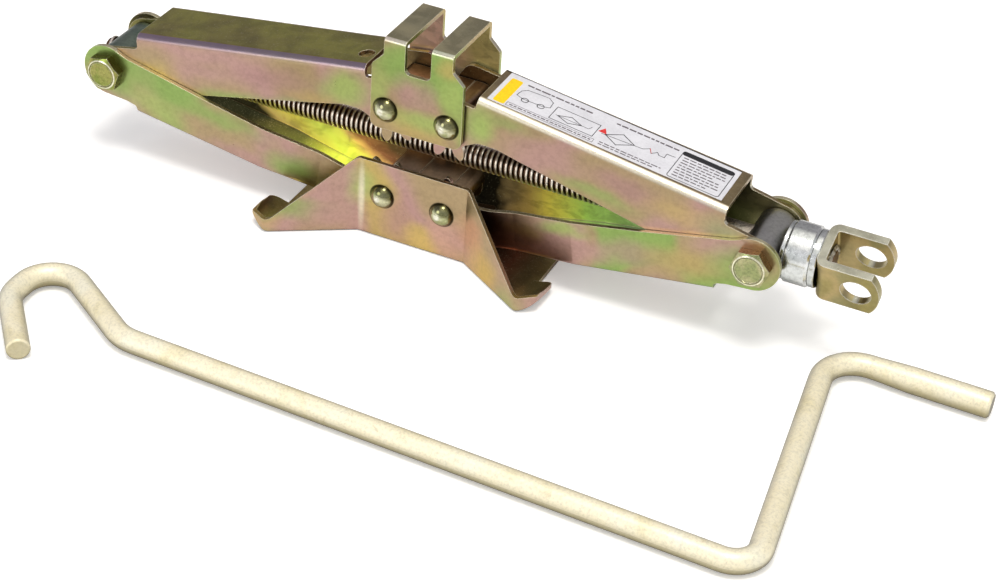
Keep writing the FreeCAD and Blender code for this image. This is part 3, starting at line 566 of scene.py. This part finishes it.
materials["lower_left_arm"] = zinc(
    "zinc_lower_left", SOFT_GREEN, seed=3.1, long_axis=FALLING,
    patches=[
        (-186, 50, 20, 13, GREEN, 0.9), (-160, 38, 24, 9, LIME, 0.65),
        (-128, 45, 42, 8, GREEN, 0.80), (-120, 34, 34, 8, TAN, 0.8),
        (-104, 26, 32, 6, PINK, 0.9), (-74, 26, 18, 9, GREEN, 0.9),
        # the last patch here, the dark one, is a painted shadow next to the foot
        (-66, 14, 9, 9, (0.14, 0.11, 0.05), 0.85)],
    channel=dict(
        up=FALLING_UP, floor_top=FLOOR_TOP, glow=0.60, lean=2.2,
        walls=[
            (-190, (0.10, 0.09, 0.03)), (-150, (0.03, 0.027, 0.012)),
            (-124, (0.035, 0.03, 0.012)), (-112, (0.72, 0.53, 0.15)),
            (-92, (0.86, 0.74, 0.12)), (-66, (0.84, 0.92, 0.13)), (-48, (0.80, 0.80, 0.13)),
            (-34, (0.66, 0.40, 0.16)), (-24, (0.30, 0.13, 0.07)), (0, CENTRE_SHADE)],
        floor=[
            (-190, (0.20, 0.20, 0.08)), (-150, (0.05, 0.05, 0.02)), (-118, (0.07, 0.07, 0.03)),
            (-88, (0.15, 0.165, 0.065)), (-76, (0.40, 0.42, 0.10)), (-62, (0.86, 0.92, 0.20)),
            (-44, (0.62, 0.60, 0.16)), (0, CENTRE_SHADE)]),
    rim=[(-200, (0.62, 0.56, 0.34)), (-150, (0.92, 0.86, 0.62)), (-122, (0.72, 0.66, 0.42)),
         (-100, (0.42, 0.37, 0.20)), (-60, (0.40, 0.35, 0.19)), (0, CENTRE_SHADE)])

materials["lower_right_arm"] = zinc(
    "zinc_lower_right", SOFT_GREEN, seed=4.7, long_axis=RISING,
    patches=[
        # the first patch, the dark one at x 44, is a painted shadow cast by the foot
        (44, 26, 15, 14, (0.09, 0.05, 0.022), 0.95), (66, 30, 15, 6, GOLD, 0.55),
        (88, 40, 18, 5, LIME, 0.85), (96, 30, 26, 9, PINK, 0.9), (130, 40, 30, 8, ROSE, 0.6),
        (120, 50, 30, 4, GREEN, 0.30), (158, 44, 26, 11, (0.48, 0.38, 0.15), 0.8),
        (188, 50, 22, 14, GREEN, 0.85)],
    channel=dict(
        up=RISING_UP, floor_top=FLOOR_TOP, glow=0.34,
        walls=[
            (0, CENTRE_SHADE), (26, (0.012, 0.010, 0.006)), (34, (0.016, 0.012, 0.006)),
            (38, (0.26, 0.18, 0.07)), (50, (0.42, 0.30, 0.08)), (66, (0.66, 0.60, 0.11)),
            (84, (0.40, 0.56, 0.14)), (112, (0.30, 0.42, 0.17)), (200, OLIVE)],
        floor=[
            (0, CENTRE_SHADE), (34, (0.05, 0.035, 0.02)), (40, (0.50, 0.37, 0.19)),
            (64, (0.56, 0.50, 0.18)), (82, (0.52, 0.66, 0.26)), (112, (0.40, 0.54, 0.30)),
            (200, (0.26, 0.32, 0.17))]),
    rim=[(0, CENTRE_SHADE), (40, (0.34, 0.27, 0.14)), (90, (0.46, 0.44, 0.22)),
         (130, (0.72, 0.66, 0.42)), (200, (0.82, 0.76, 0.50))])

materials["top_saddle"] = zinc(
    "zinc_saddle", [(0.36, GOLD), (0.50, TAN), (0.64, GREEN)], seed=5.2,
    patches=[
        (-24, 92, 8, 15, LIME, 0.70), (-14, 112, 12, 10, GREEN, 0.7), (-5, 96, 12, 12, PINK, 0.95),
        (6, 95, 12, 11, PINK, 0.7), (22, 98, 10, 18, LIME, 0.95), (6, 80, 26, 8, LIME, 0.8),
        (18, 116, 8, 8, GOLD, 0.7)],
    web=dict(up=(0, 0, 1), tones=[(0.56, 0.50, 0.30), (0.46, 0.42, 0.26)],
             sheen=(0.86, 0.80, 0.72), sheen_amount=0.7),
    channel=dict(glow=0.28, walls=[
        (-40, (0.50, 0.34, 0.18)), (-10, (0.56, 0.36, 0.28)), (12, (0.42, 0.36, 0.14)),
        (40, (0.64, 0.54, 0.22))]),
    rings=[(-18.0, 81.28), (18.0, 81.28)])

materials["foot"] = zinc(
    "zinc_foot", [(0.36, GOLD), (0.50, PINK), (0.66, TAN)], seed=6.4,
    patches=[
        (-88, -4, 20, 9, LIME, 0.95), (-60, 14, 26, 7, GREEN, 0.7), (-42, 12, 16, 14, PINK, 0.9),
        # the narrow cream patch at x -30.5 is a painted highlight on the bend
        (-30, 30, 10, 12, LIME, 0.7), (-30.5, 24, 2.4, 24, (0.88, 0.82, 0.62), 0.75),
        (-8, 16, 14, 18, ROSE, 0.75), (6, 6, 14, 10, (0.64, 0.47, 0.17), 0.85),
        (22, 12, 13, 13, (0.60, 0.37, 0.29), 0.85), (38, 22, 10, 14, (0.60, 0.33, 0.20), 0.8),
        (48, 6, 14, 16, (0.60, 0.43, 0.13), 0.95), (70, -2, 12, 12, LIME, 0.5)],
    channel=dict(
        up=(0, 0, 1), floor_top=14 * MM, glow=0.12,
        walls=[
            (-90, (0.30, 0.26, 0.10)), (-60, (0.36, 0.30, 0.12)), (0, CENTRE_SHADE),
            (44, (0.06, 0.03, 0.015)), (66, (0.34, 0.13, 0.06)), (90, (0.36, 0.26, 0.12))],
        floor=[
            (-95, (0.40, 0.35, 0.14)), (-60, (0.26, 0.22, 0.09)), (0, CENTRE_SHADE),
            (42, (0.03, 0.018, 0.010)), (56, (0.30, 0.11, 0.055)), (66, (0.24, 0.17, 0.075)),
            (78, (0.34, 0.28, 0.11)), (95, (0.34, 0.30, 0.12))]),
    rings=[(-18.0, 26.72), (18.0, 26.72)])

for part, name, light, dark, seed in (
        ("saddle_spacer", "zinc_spacer_top", (0.46, 0.31, 0.19), (0.30, 0.20, 0.14), 7.0),
        ("foot_spacer", "zinc_spacer_low", (0.50, 0.35, 0.20), (0.32, 0.21, 0.14), 8.0)):
    materials[part] = zinc(name, [(0.3, light), (0.7, dark)], seed=seed, drift=30.0, grain=1.0,
                           edge_highlight=(0.90, 0.75, 0.52))

for index, place in enumerate(("upper_left", "upper_right", "lower_left", "lower_right")):
    part = "rivet_" + place
    low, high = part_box(part)
    materials[part] = fastener(
        "plated_" + part, face=((0.44, 0.48, 0.22), (0.66, 0.66, 0.44), (0.50, 0.48, 0.28)),
        side=(0.15, 0.14, 0.05), radius=(high.x - low.x) / 2, centre=(low + high) / 2,
        seed=9.0 + index, dome=True)

# side, x of the bolt, first seed, face colours, side colour
BOLTS = (
    ("left", -TRUNNION.x, 13.0,
     ((0.25, 0.30, 0.07), (0.38, 0.37, 0.115), (0.29, 0.33, 0.09)), (0.17, 0.12, 0.045)),
    ("right", TRUNNION.x, 15.0,
     ((0.34, 0.38, 0.17), (0.50, 0.48, 0.26), (0.44, 0.42, 0.24)), (0.34, 0.22, 0.13)))
for bolt_side, bolt_x, first_seed, face, side in BOLTS:
    for index, end in enumerate(("front", "rear")):
        part = f"pivot_bolt_{bolt_side}_{end}"
        materials[part] = fastener(
            "plated_" + part, face, side, radius=8.0 * MM,
            centre=Vector((bolt_x, 0, AXIS_Z)), seed=first_seed + index, dome=False)

materials["trunnion_nut"] = turned(
    "trunnion_dark", (0.15, 0.21, 0.17), (0.22, 0.27, 0.22), rough=0.34, seed=1, lines=LINES_Y)
materials["trunnion_thrust"] = turned(
    "trunnion_grey", (0.44, 0.41, 0.36), (0.50, 0.50, 0.38), rough=0.30, seed=2, lines=LINES_Y,
    # top: painted light on the upward faces
    top=(0.50, 0.50, 0.50))
for index, part in enumerate(("washer_trunnion", "washer_yoke", "bearing_cup", "bearing_cage")):
    materials[part] = turned("plated_" + part, (0.66, 0.69, 0.68), (0.88, 0.90, 0.90),
                             rough=0.17, seed=3 + index)
for index, part in enumerate(("bearing_race_fixed", "bearing_race_turning", "bearing_balls")):
    materials[part] = turned("race_" + part, (0.72, 0.72, 0.72), (0.80, 0.80, 0.80),
                             rough=0.22, seed=8 + index)

YOKE_TILT = math.radians(20)
materials["yoke"] = zinc(
    "zinc_yoke", [(0.34, (0.40, 0.33, 0.13)), (0.5, (0.50, 0.39, 0.18)),
                  (0.66, (0.36, 0.32, 0.15))],
    seed=15.0, drift=40.0, edge_width=0.9 * MM, edge_highlight=(0.96, 0.95, 0.86), edge_amount=0.95,
    web=dict(up=(0, -math.sin(YOKE_TILT), math.cos(YOKE_TILT)),
             tones=[(0.52, 0.52, 0.44), (0.38, 0.37, 0.29)],
             sheen=(0.52, 0.48, 0.33), sheen_amount=0.3))
materials["crank_handle"] = rod_material()
materials["instruction_label"] = label_material()

for part, material in materials.items():
    slots = frame["nodes"][part].data.materials
    slots.clear()
    slots.append(material)


# ------------------------------------------------------------ mesh helpers
def make(name, verts, faces, material, body, slot, smooth_angle=None):
    """Mesh object that rides on a body; smooth_angle in degrees."""
    mesh = bpy.data.meshes.new(name)
    mesh.from_pydata([tuple(vert) for vert in verts], [], faces)
    mesh.update()
    edit = bmesh.new()
    edit.from_mesh(mesh)
    bmesh.ops.recalc_face_normals(edit, faces=edit.faces)
    edit.to_mesh(mesh)
    edit.free()
    if smooth_angle:
        mesh.shade_smooth()
        mesh.set_sharp_from_angle(angle=math.radians(smooth_angle))
    obj = bpy.data.objects.new(name, mesh)
    bpy.context.scene.collection.objects.link(obj)
    obj.data.materials.append(material)
    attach(obj, body)
    return obj


def around_screw(x, radius, angle):
    return (x, radius * math.cos(angle), AXIS_Z + radius * math.sin(angle))


# ------------------------------------------------------------ power screw
CREST, ROOT, PITCH = 7.0, 5.25, 3.0    # mm
THREAD_END = 168.0                     # mm, right end of the thread
LEAD_IN = 1.6                          # mm over which the thread rises at the left tip
THREAD_STEPS, SHAFT_STEPS = 40, 64     # points round one turn
# offset along the pitch, radius (mm)
THREAD_PROFILE = [(0.0, ROOT), (0.9, ROOT), (1.40, CREST - 0.04), (1.52, CREST), (2.36, CREST),
                  (2.5, CREST - 0.04)]


def screw_material():
    mat = Material("screw_thread")
    soft = mat.soften(0.25 * MM)
    _, y, z = mat.sep(mat.place)
    crest = mat.fade(mat.reach(y, mat.minus(z, AXIS_Z)), span=(6.2 * MM, 6.9 * MM))
    cloud = mat.noise(scale=80.0)
    # dark roots are painted shade in the grooves and bright crests a painted highlight
    root_shade = mat.ramp(cloud, [(0.3, (0.13, 0.075, 0.045)), (0.7, (0.22, 0.13, 0.08))])
    crest_highlight = mat.ramp(cloud, [(0.3, (0.80, 0.70, 0.58)), (0.7, (0.95, 0.88, 0.78))])
    colour = mat.mix(crest, root_shade, crest_highlight)
    fine = mat.noise(scale=900.0, detail=4.0, rough=0.65)
    colour = mat.shade(colour, fine, [(0.30, 0.62), (0.62, 1.08)])
    return mat.finish(colour, rough=mat.vary(base=0.26, by=fine, amount=0.22),
                      normal=mat.bump(fine, distance=0.00008, strength=0.6, normal=soft))


def thread_mesh():
    """Helical thread, a disc on its left tip and the plain shaft on its right."""
    low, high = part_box("power_screw")
    left, right = low.x * 1000, high.x * 1000
    rows = (int((THREAD_END - left) / PITCH) + 2) * THREAD_STEPS
    width = len(THREAD_PROFILE)
    verts, faces = [], []

    def add(x, radius, step, steps):
        verts.append(around_screw(x * MM, radius * MM, 2 * math.pi * step / steps))

    def index(row, column):
        """Past the last column, the surface goes on one turn later."""
        return row * width + column if column < width else (row + THREAD_STEPS) * width

    for row in range(rows + 1):
        start = left - PITCH + PITCH * row / THREAD_STEPS
        for offset, radius in THREAD_PROFILE:
            x = start + offset
            rise = min(1.0, max(0.0, (x - left) / LEAD_IN))
            add(min(max(x, left), THREAD_END), ROOT + (radius - ROOT) * rise, row, THREAD_STEPS)
    for row in range(rows):
        for column in range(width):
            if column == width - 1 and row + THREAD_STEPS + 1 > rows:
                continue
            faces.append((index(row, column), index(row + 1, column),
                          index(row + 1, column + 1), index(row, column + 1)))

    centre = len(verts)
    verts.append((left * MM, 0, AXIS_Z))
    for i in range(THREAD_STEPS):
        add(left, ROOT, i, THREAD_STEPS)
    for i in range(THREAD_STEPS):
        faces.append((centre, centre + 1 + i, centre + 1 + (i + 1) % THREAD_STEPS))

    # plain shaft: x, radius (mm)
    stations = [(THREAD_END - 0.8, ROOT - 0.1), (THREAD_END - 0.2, CREST - 0.25),
                (THREAD_END + 0.4, CREST), (right - 1.0, CREST), (right, CREST - 1.0)]
    ring = len(verts)
    for x, radius in stations:
        for i in range(SHAFT_STEPS):
            add(x, radius, i, SHAFT_STEPS)
    for _ in stations[:-1]:
        after = ring + SHAFT_STEPS
        for i in range(SHAFT_STEPS):
            j = (i + 1) % SHAFT_STEPS
            faces.append((ring + i, ring + j, after + j, after + i))
        ring = after
    faces.append(tuple(range(ring, ring + SHAFT_STEPS)))
    return verts, faces


screw = make("screw_helical", *thread_mesh(), screw_material(), "screw", "screw_bronze", 30)
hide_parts("power_screw")

# ------------------------------------------------------------ weld bead
WELD_STEPS, WELD_ROWS = 160, 9    # points round the bead and across it
WELD_OUTER = 9.6 * MM
WELD_INNER = 6.2 * MM
WELD_HEIGHT = 1.7 * MM
WELD_SINK = 0.2 * MM


def weld_mesh():
    """Rippled ring round the screw axis."""
    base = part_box("yoke_weld")[0].x - WELD_SINK
    verts, faces = [], []
    for i in range(WELD_STEPS):
        angle = 2 * math.pi * i / WELD_STEPS
        ripple = 0.5 + 0.5 * math.sin(angle * 17 + 0.7 * math.sin(angle * 5))
        outer = WELD_OUTER + 0.5 * MM * math.sin(angle * 3 + 1) + 0.35 * MM * ripple
        height = WELD_HEIGHT + 0.4 * MM * ripple + 0.2 * MM * math.sin(angle * 7)
        for j in range(WELD_ROWS):
            share = j / (WELD_ROWS - 1)
            arch = math.sin(math.pi * (0.08 + 0.80 * share)) ** 0.7
            verts.append(around_screw(base + height * arch,
                                      outer + (WELD_INNER - outer) * share, angle))
    for i in range(WELD_STEPS):
        here, there = i * WELD_ROWS, (i + 1) % WELD_STEPS * WELD_ROWS
        for j in range(WELD_ROWS - 1):
            faces.append((here + j, there + j, there + j + 1, here + j + 1))
    return verts, faces


weld_steel = turned("weld_bead", (0.40, 0.37, 0.30), (0.58, 0.55, 0.48), rough=0.42, seed=21,
                    edge_width=0.2 * MM)
weld = make("weld_rippled", *weld_mesh(), weld_steel, "screw", "weld_bead", 60)
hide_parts("yoke_weld")

# ------------------------------------------------------------ label print
# label places are (along the upper right arm, across it towards +Y), in mm
LABEL_START = 3.43      # label distance at the gear pivot
LABEL_HEIGHT = 22.3     # mm above the line through the pivots
LABEL_SLOPE = 0.006
INK_LIFT = 0.05         # mm


def on_label(along, across, lift):
    ahead = along - LABEL_START
    height = LABEL_HEIGHT + LABEL_SLOPE * ahead + lift
    return (GEAR + Vector(FALLING) * (ahead * MM) + Vector(FALLING_UP) * (height * MM)
            + Vector((0, across * MM, 0)))


class Ink:
    """Raised flat shapes printed in one colour."""

    def __init__(self):
        self.verts, self.faces = [], []

    def poly(self, points, lift=INK_LIFT):
        count = len(points)
        base = len(self.verts)
        for level in (0.0, lift):
            self.verts += [on_label(x, y, level) for x, y in points]
        self.faces.append(tuple(range(base + count, base + 2 * count)))
        for i in range(count):
            j = (i + 1) % count
            self.faces.append((base + i, base + j, base + count + j, base + count + i))

    def line(self, points, width, closed=False, lift=INK_LIFT):
        path = points + points[:1] if closed else points
        for (x0, y0), (x1, y1) in zip(path[:-1], path[1:]):
            length = math.hypot(x1 - x0, y1 - y0)
            dx = (x1 - x0) / length * width / 2
            dy = (y1 - y0) / length * width / 2
            self.poly([(x0 - dx - dy, y0 - dy + dx), (x1 + dx - dy, y1 + dy + dx),
                       (x1 + dx + dy, y1 + dy - dx), (x0 - dx + dy, y0 - dy - dx)], lift)

    def dashes(self, start, end, across, height, mean):
        """A row of dashes that stands where a line of print would be."""
        low, high = across - height / 2, across + height / 2
        while start < end - 0.8:
            width = min(end - start, mean * (0.5 + dash_random.random()))
            self.poly([(start, low), (start + width, low), (start + width, high), (start, high)])
            start += width + 0.7


def rounded(x0, y0, x1, y1, radius, steps=5):
    corners = ((x1 - radius, y1 - radius, 0), (x0 + radius, y1 - radius, 90),
               (x0 + radius, y0 + radius, 180), (x1 - radius, y0 + radius, 270))
    points = []
    for x, y, start in corners:
        for k in range(steps + 1):
            angle = math.radians(start + 90 * k / steps)
            points.append((x + radius * math.cos(angle), y + radius * math.sin(angle)))
    return points


def circle(x, y, radius, steps=16):
    angles = [2 * math.pi * k / steps for k in range(steps)]
    return [(x + radius * math.cos(angle), y + radius * math.sin(angle)) for angle in angles]


yellow, black, grey, red = Ink(), Ink(), Ink(), Ink()
yellow.poly(rounded(21.5, -14.8, 28.0, 11.0, 1.2))

# width, closed, points
BLACK_LINES = [
    # trailer outline and its two wheels
    (0.35, False, [(30, -2), (30.5, 3), (33, 6), (45, 7.2), (48.5, 4.5), (49.0, -1.0),
                   (45.5, -2.6), (40, -3.0), (34, -3.4), (30, -2)]),
    (0.45, True, circle(35.5, -3.8, 1.9)),
    (0.45, True, circle(44.5, -3.2, 1.9)),
    # framed box with a jack sketch
    (0.4, True, [(52, -9.5), (77, -9.5), (77, 3.0), (52, 3.0)]),
    (0.45, True, [(55, -4.5), (62, -1.0), (69, -4.5), (62, -7.5)]),
    (0.3, False, [(54, -4.5), (73, -4.5), (74, -2.0)]),
    # larger jack sketch with a crank
    (0.5, True, [(82, -3), (90, 3.5), (98, -1.5), (90, -8.0)]),
    (0.35, False, [(80, -3.4), (103, -1.4)]),
    (0.38, False, [(103, -1.4), (106, 1.5), (108, -2.2), (110.5, 1.0), (112, -1.0),
                   (115, -1.0), (115, 3.0), (119.5, 3.4)]),
    # notice panel outline
    (0.4, True, rounded(121.5, -14.6, 150.5, 12.2, 1.6))]
for width, closed, points in BLACK_LINES:
    black.line(points, width, closed)
black.poly(rounded(121.7, 8.4, 150.3, 12.0, 1.2))    # header bar of the notice panel
black.line([(16.0, 15.6), (152.8, 15.6)], width=0.5)

# start, end, across, height, mean dash length; the notice panel's rows come last
DASH_ROWS = [(30.5, 77.5, -12.8, 0.9, 2.4), (31, 69, 10.4, 1.2, 3.4), (83, 119, 10.6, 1.2, 3.4),
             (82, 117, -11.2, 0.8, 2.6), (82, 113, -13.2, 0.8, 2.6)]
DASH_ROWS += [(123.5, 148.5 - (6 if k in (3, 7) else 0), 6.4 - 2.6 * k, 0.85, 2.6)
              for k in range(8)]
grey.line([(29, -14.4), (79, -14.4), (79, -11.2), (29, -11.2)], width=0.28, closed=True)
for dash_row in DASH_ROWS:
    grey.dashes(*dash_row)

red.poly([(77.6, -2.6), (82.6, -2.6), (80.1, 2.2)])
red.line([(106, 1.6), (108, -2.0)], width=0.3, lift=0.06)

for name, ink, colour, rough in (
        ("label_yellow", yellow, (1.0, 0.66, 0.0), 0.35),
        ("label_black", black, (0.012, 0.012, 0.015), 0.4),
        ("label_grey", grey, (0.13, 0.11, 0.125), 0.45),
        ("label_red", red, (0.70, 0.035, 0.03), 0.4)):
    make(name, ink.verts, ink.faces, ink_material(name + "_ink", colour, rough),
         "upper_right", "label_film")

# ------------------------------------------------------------ floor
FLOOR_HALF = 12.0
FLOOR_Z = -0.0002


def floor_material():
    """Pale paper that glows a little to the camera only."""
    mat = Material("floor_paper")
    colour = mat.ramp(mat.noise(scale=14.0, detail=4.0, rough=0.6),
                      [(0.3, (0.93, 0.93, 0.925)), (0.7, (0.96, 0.96, 0.955))])
    camera_ray = mat.node("ShaderNodeLightPath").outputs["Is Camera Ray"]
    return mat.finish(colour, rough=0.9, metal=0.0, extra={
        "Emission Color": (0.95, 0.95, 0.945), "Emission Strength": mat.times(camera_ray, 0.30)})


floor_mesh = bpy.data.meshes.new("floor")
floor_mesh.from_pydata([(x * FLOOR_HALF, y * FLOOR_HALF, FLOOR_Z)
                        for x, y in ((-1, -1), (1, -1), (1, 1), (-1, 1))], [], [(0, 1, 2, 3)])
floor = bpy.data.objects.new("floor", floor_mesh)
bpy.context.scene.collection.objects.link(floor)
floor.data.materials.append(floor_material())
floor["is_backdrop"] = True

# ------------------------------------------------------------ world
# grey all round, bright overhead, cool and dim high on the left, dim at the back
world = bpy.data.worlds.new("studio")
bpy.context.scene.world = world
world.use_nodes = True
sky = Nodes(world.node_tree)
x, y, z = sky.sep(sky.coords.outputs["Generated"])
colour = sky.mix(sky.fade(z, span=(0.55, 0.92)), (0.80, 0.80, 0.80), (1.45, 1.40, 1.30))
high_left = sky.node("ShaderNodeMath", {0: sky.fade(x, span=(-0.12, -0.45)),
                                        1: sky.fade(z, span=(0.15, 0.45))}, operation="MULTIPLY")
colour = sky.mix(high_left.outputs[0], colour, (0.40, 0.38, 0.47))
colour = sky.mix(sky.fade(y, span=(0.25, 0.62)), colour, (0.40, 0.385, 0.40))
background = sky.node("ShaderNodeBackground", {"Color": colour, "Strength": 0.85})
sky.node("ShaderNodeOutputWorld", {0: background.outputs[0]})

# ------------------------------------------------------------ lights
LIGHT_TARGET = Vector((0.02, -0.08, 0.05))


def area(name, direction, distance, size, power, colour):
    """Disk light that looks at the target from a direction."""
    data = bpy.data.lights.new(name, "AREA")
    data.shape = "DISK"
    data.size = size
    data.energy = power
    data.color = colour
    light = bpy.data.objects.new(name, data)
    outward = Vector(direction).normalized()
    light.location = LIGHT_TARGET + outward * distance
    light.rotation_mode = "QUATERNION"
    light.rotation_quaternion = (-outward).to_track_quat("-Z", "Y")
    bpy.context.scene.collection.objects.link(light)


area("key", direction=(0.10, -0.22, 0.97), distance=2.6, size=0.85, power=30,
     colour=(1.0, 0.98, 0.95))
area("front_card", direction=(-0.45, -0.80, 0.42), distance=2.4, size=1.0, power=8,
     colour=(1.0, 0.99, 0.96))
bpy.context.scene.view_settings.view_transform = "Standard"
bpy.context.scene.view_settings.look = "None"

# ------------------------------------------------------------ camera
CAMERA_PLACE = (0.429507, -0.927073, 0.618023 + AXIS_Z)
CAMERA_AXES = (    # the camera's right, up and backward directions
    (0.906897374, 0.416178501, 0.0658225499),
    (-0.289207332, 0.501225754, 0.815556168),
    (0.306424986, -0.758662111, 0.574922194))
camera = bpy.data.objects.new("camera", bpy.data.cameras.new("camera"))
bpy.context.scene.collection.objects.link(camera)
camera.matrix_world = (Matrix.Translation(CAMERA_PLACE)
                       @ Matrix(CAMERA_AXES).transposed().to_4x4())
camera.data.sensor_width = 36.0
camera.data.lens = 79.006
camera.data.shift_x = -0.0149
camera.data.shift_y = 0.0064
camera.data.clip_start = 0.05
camera.data.clip_end = 50
bpy.context.scene.camera = camera

# ------------------------------------------------------------ sizes
low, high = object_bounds()
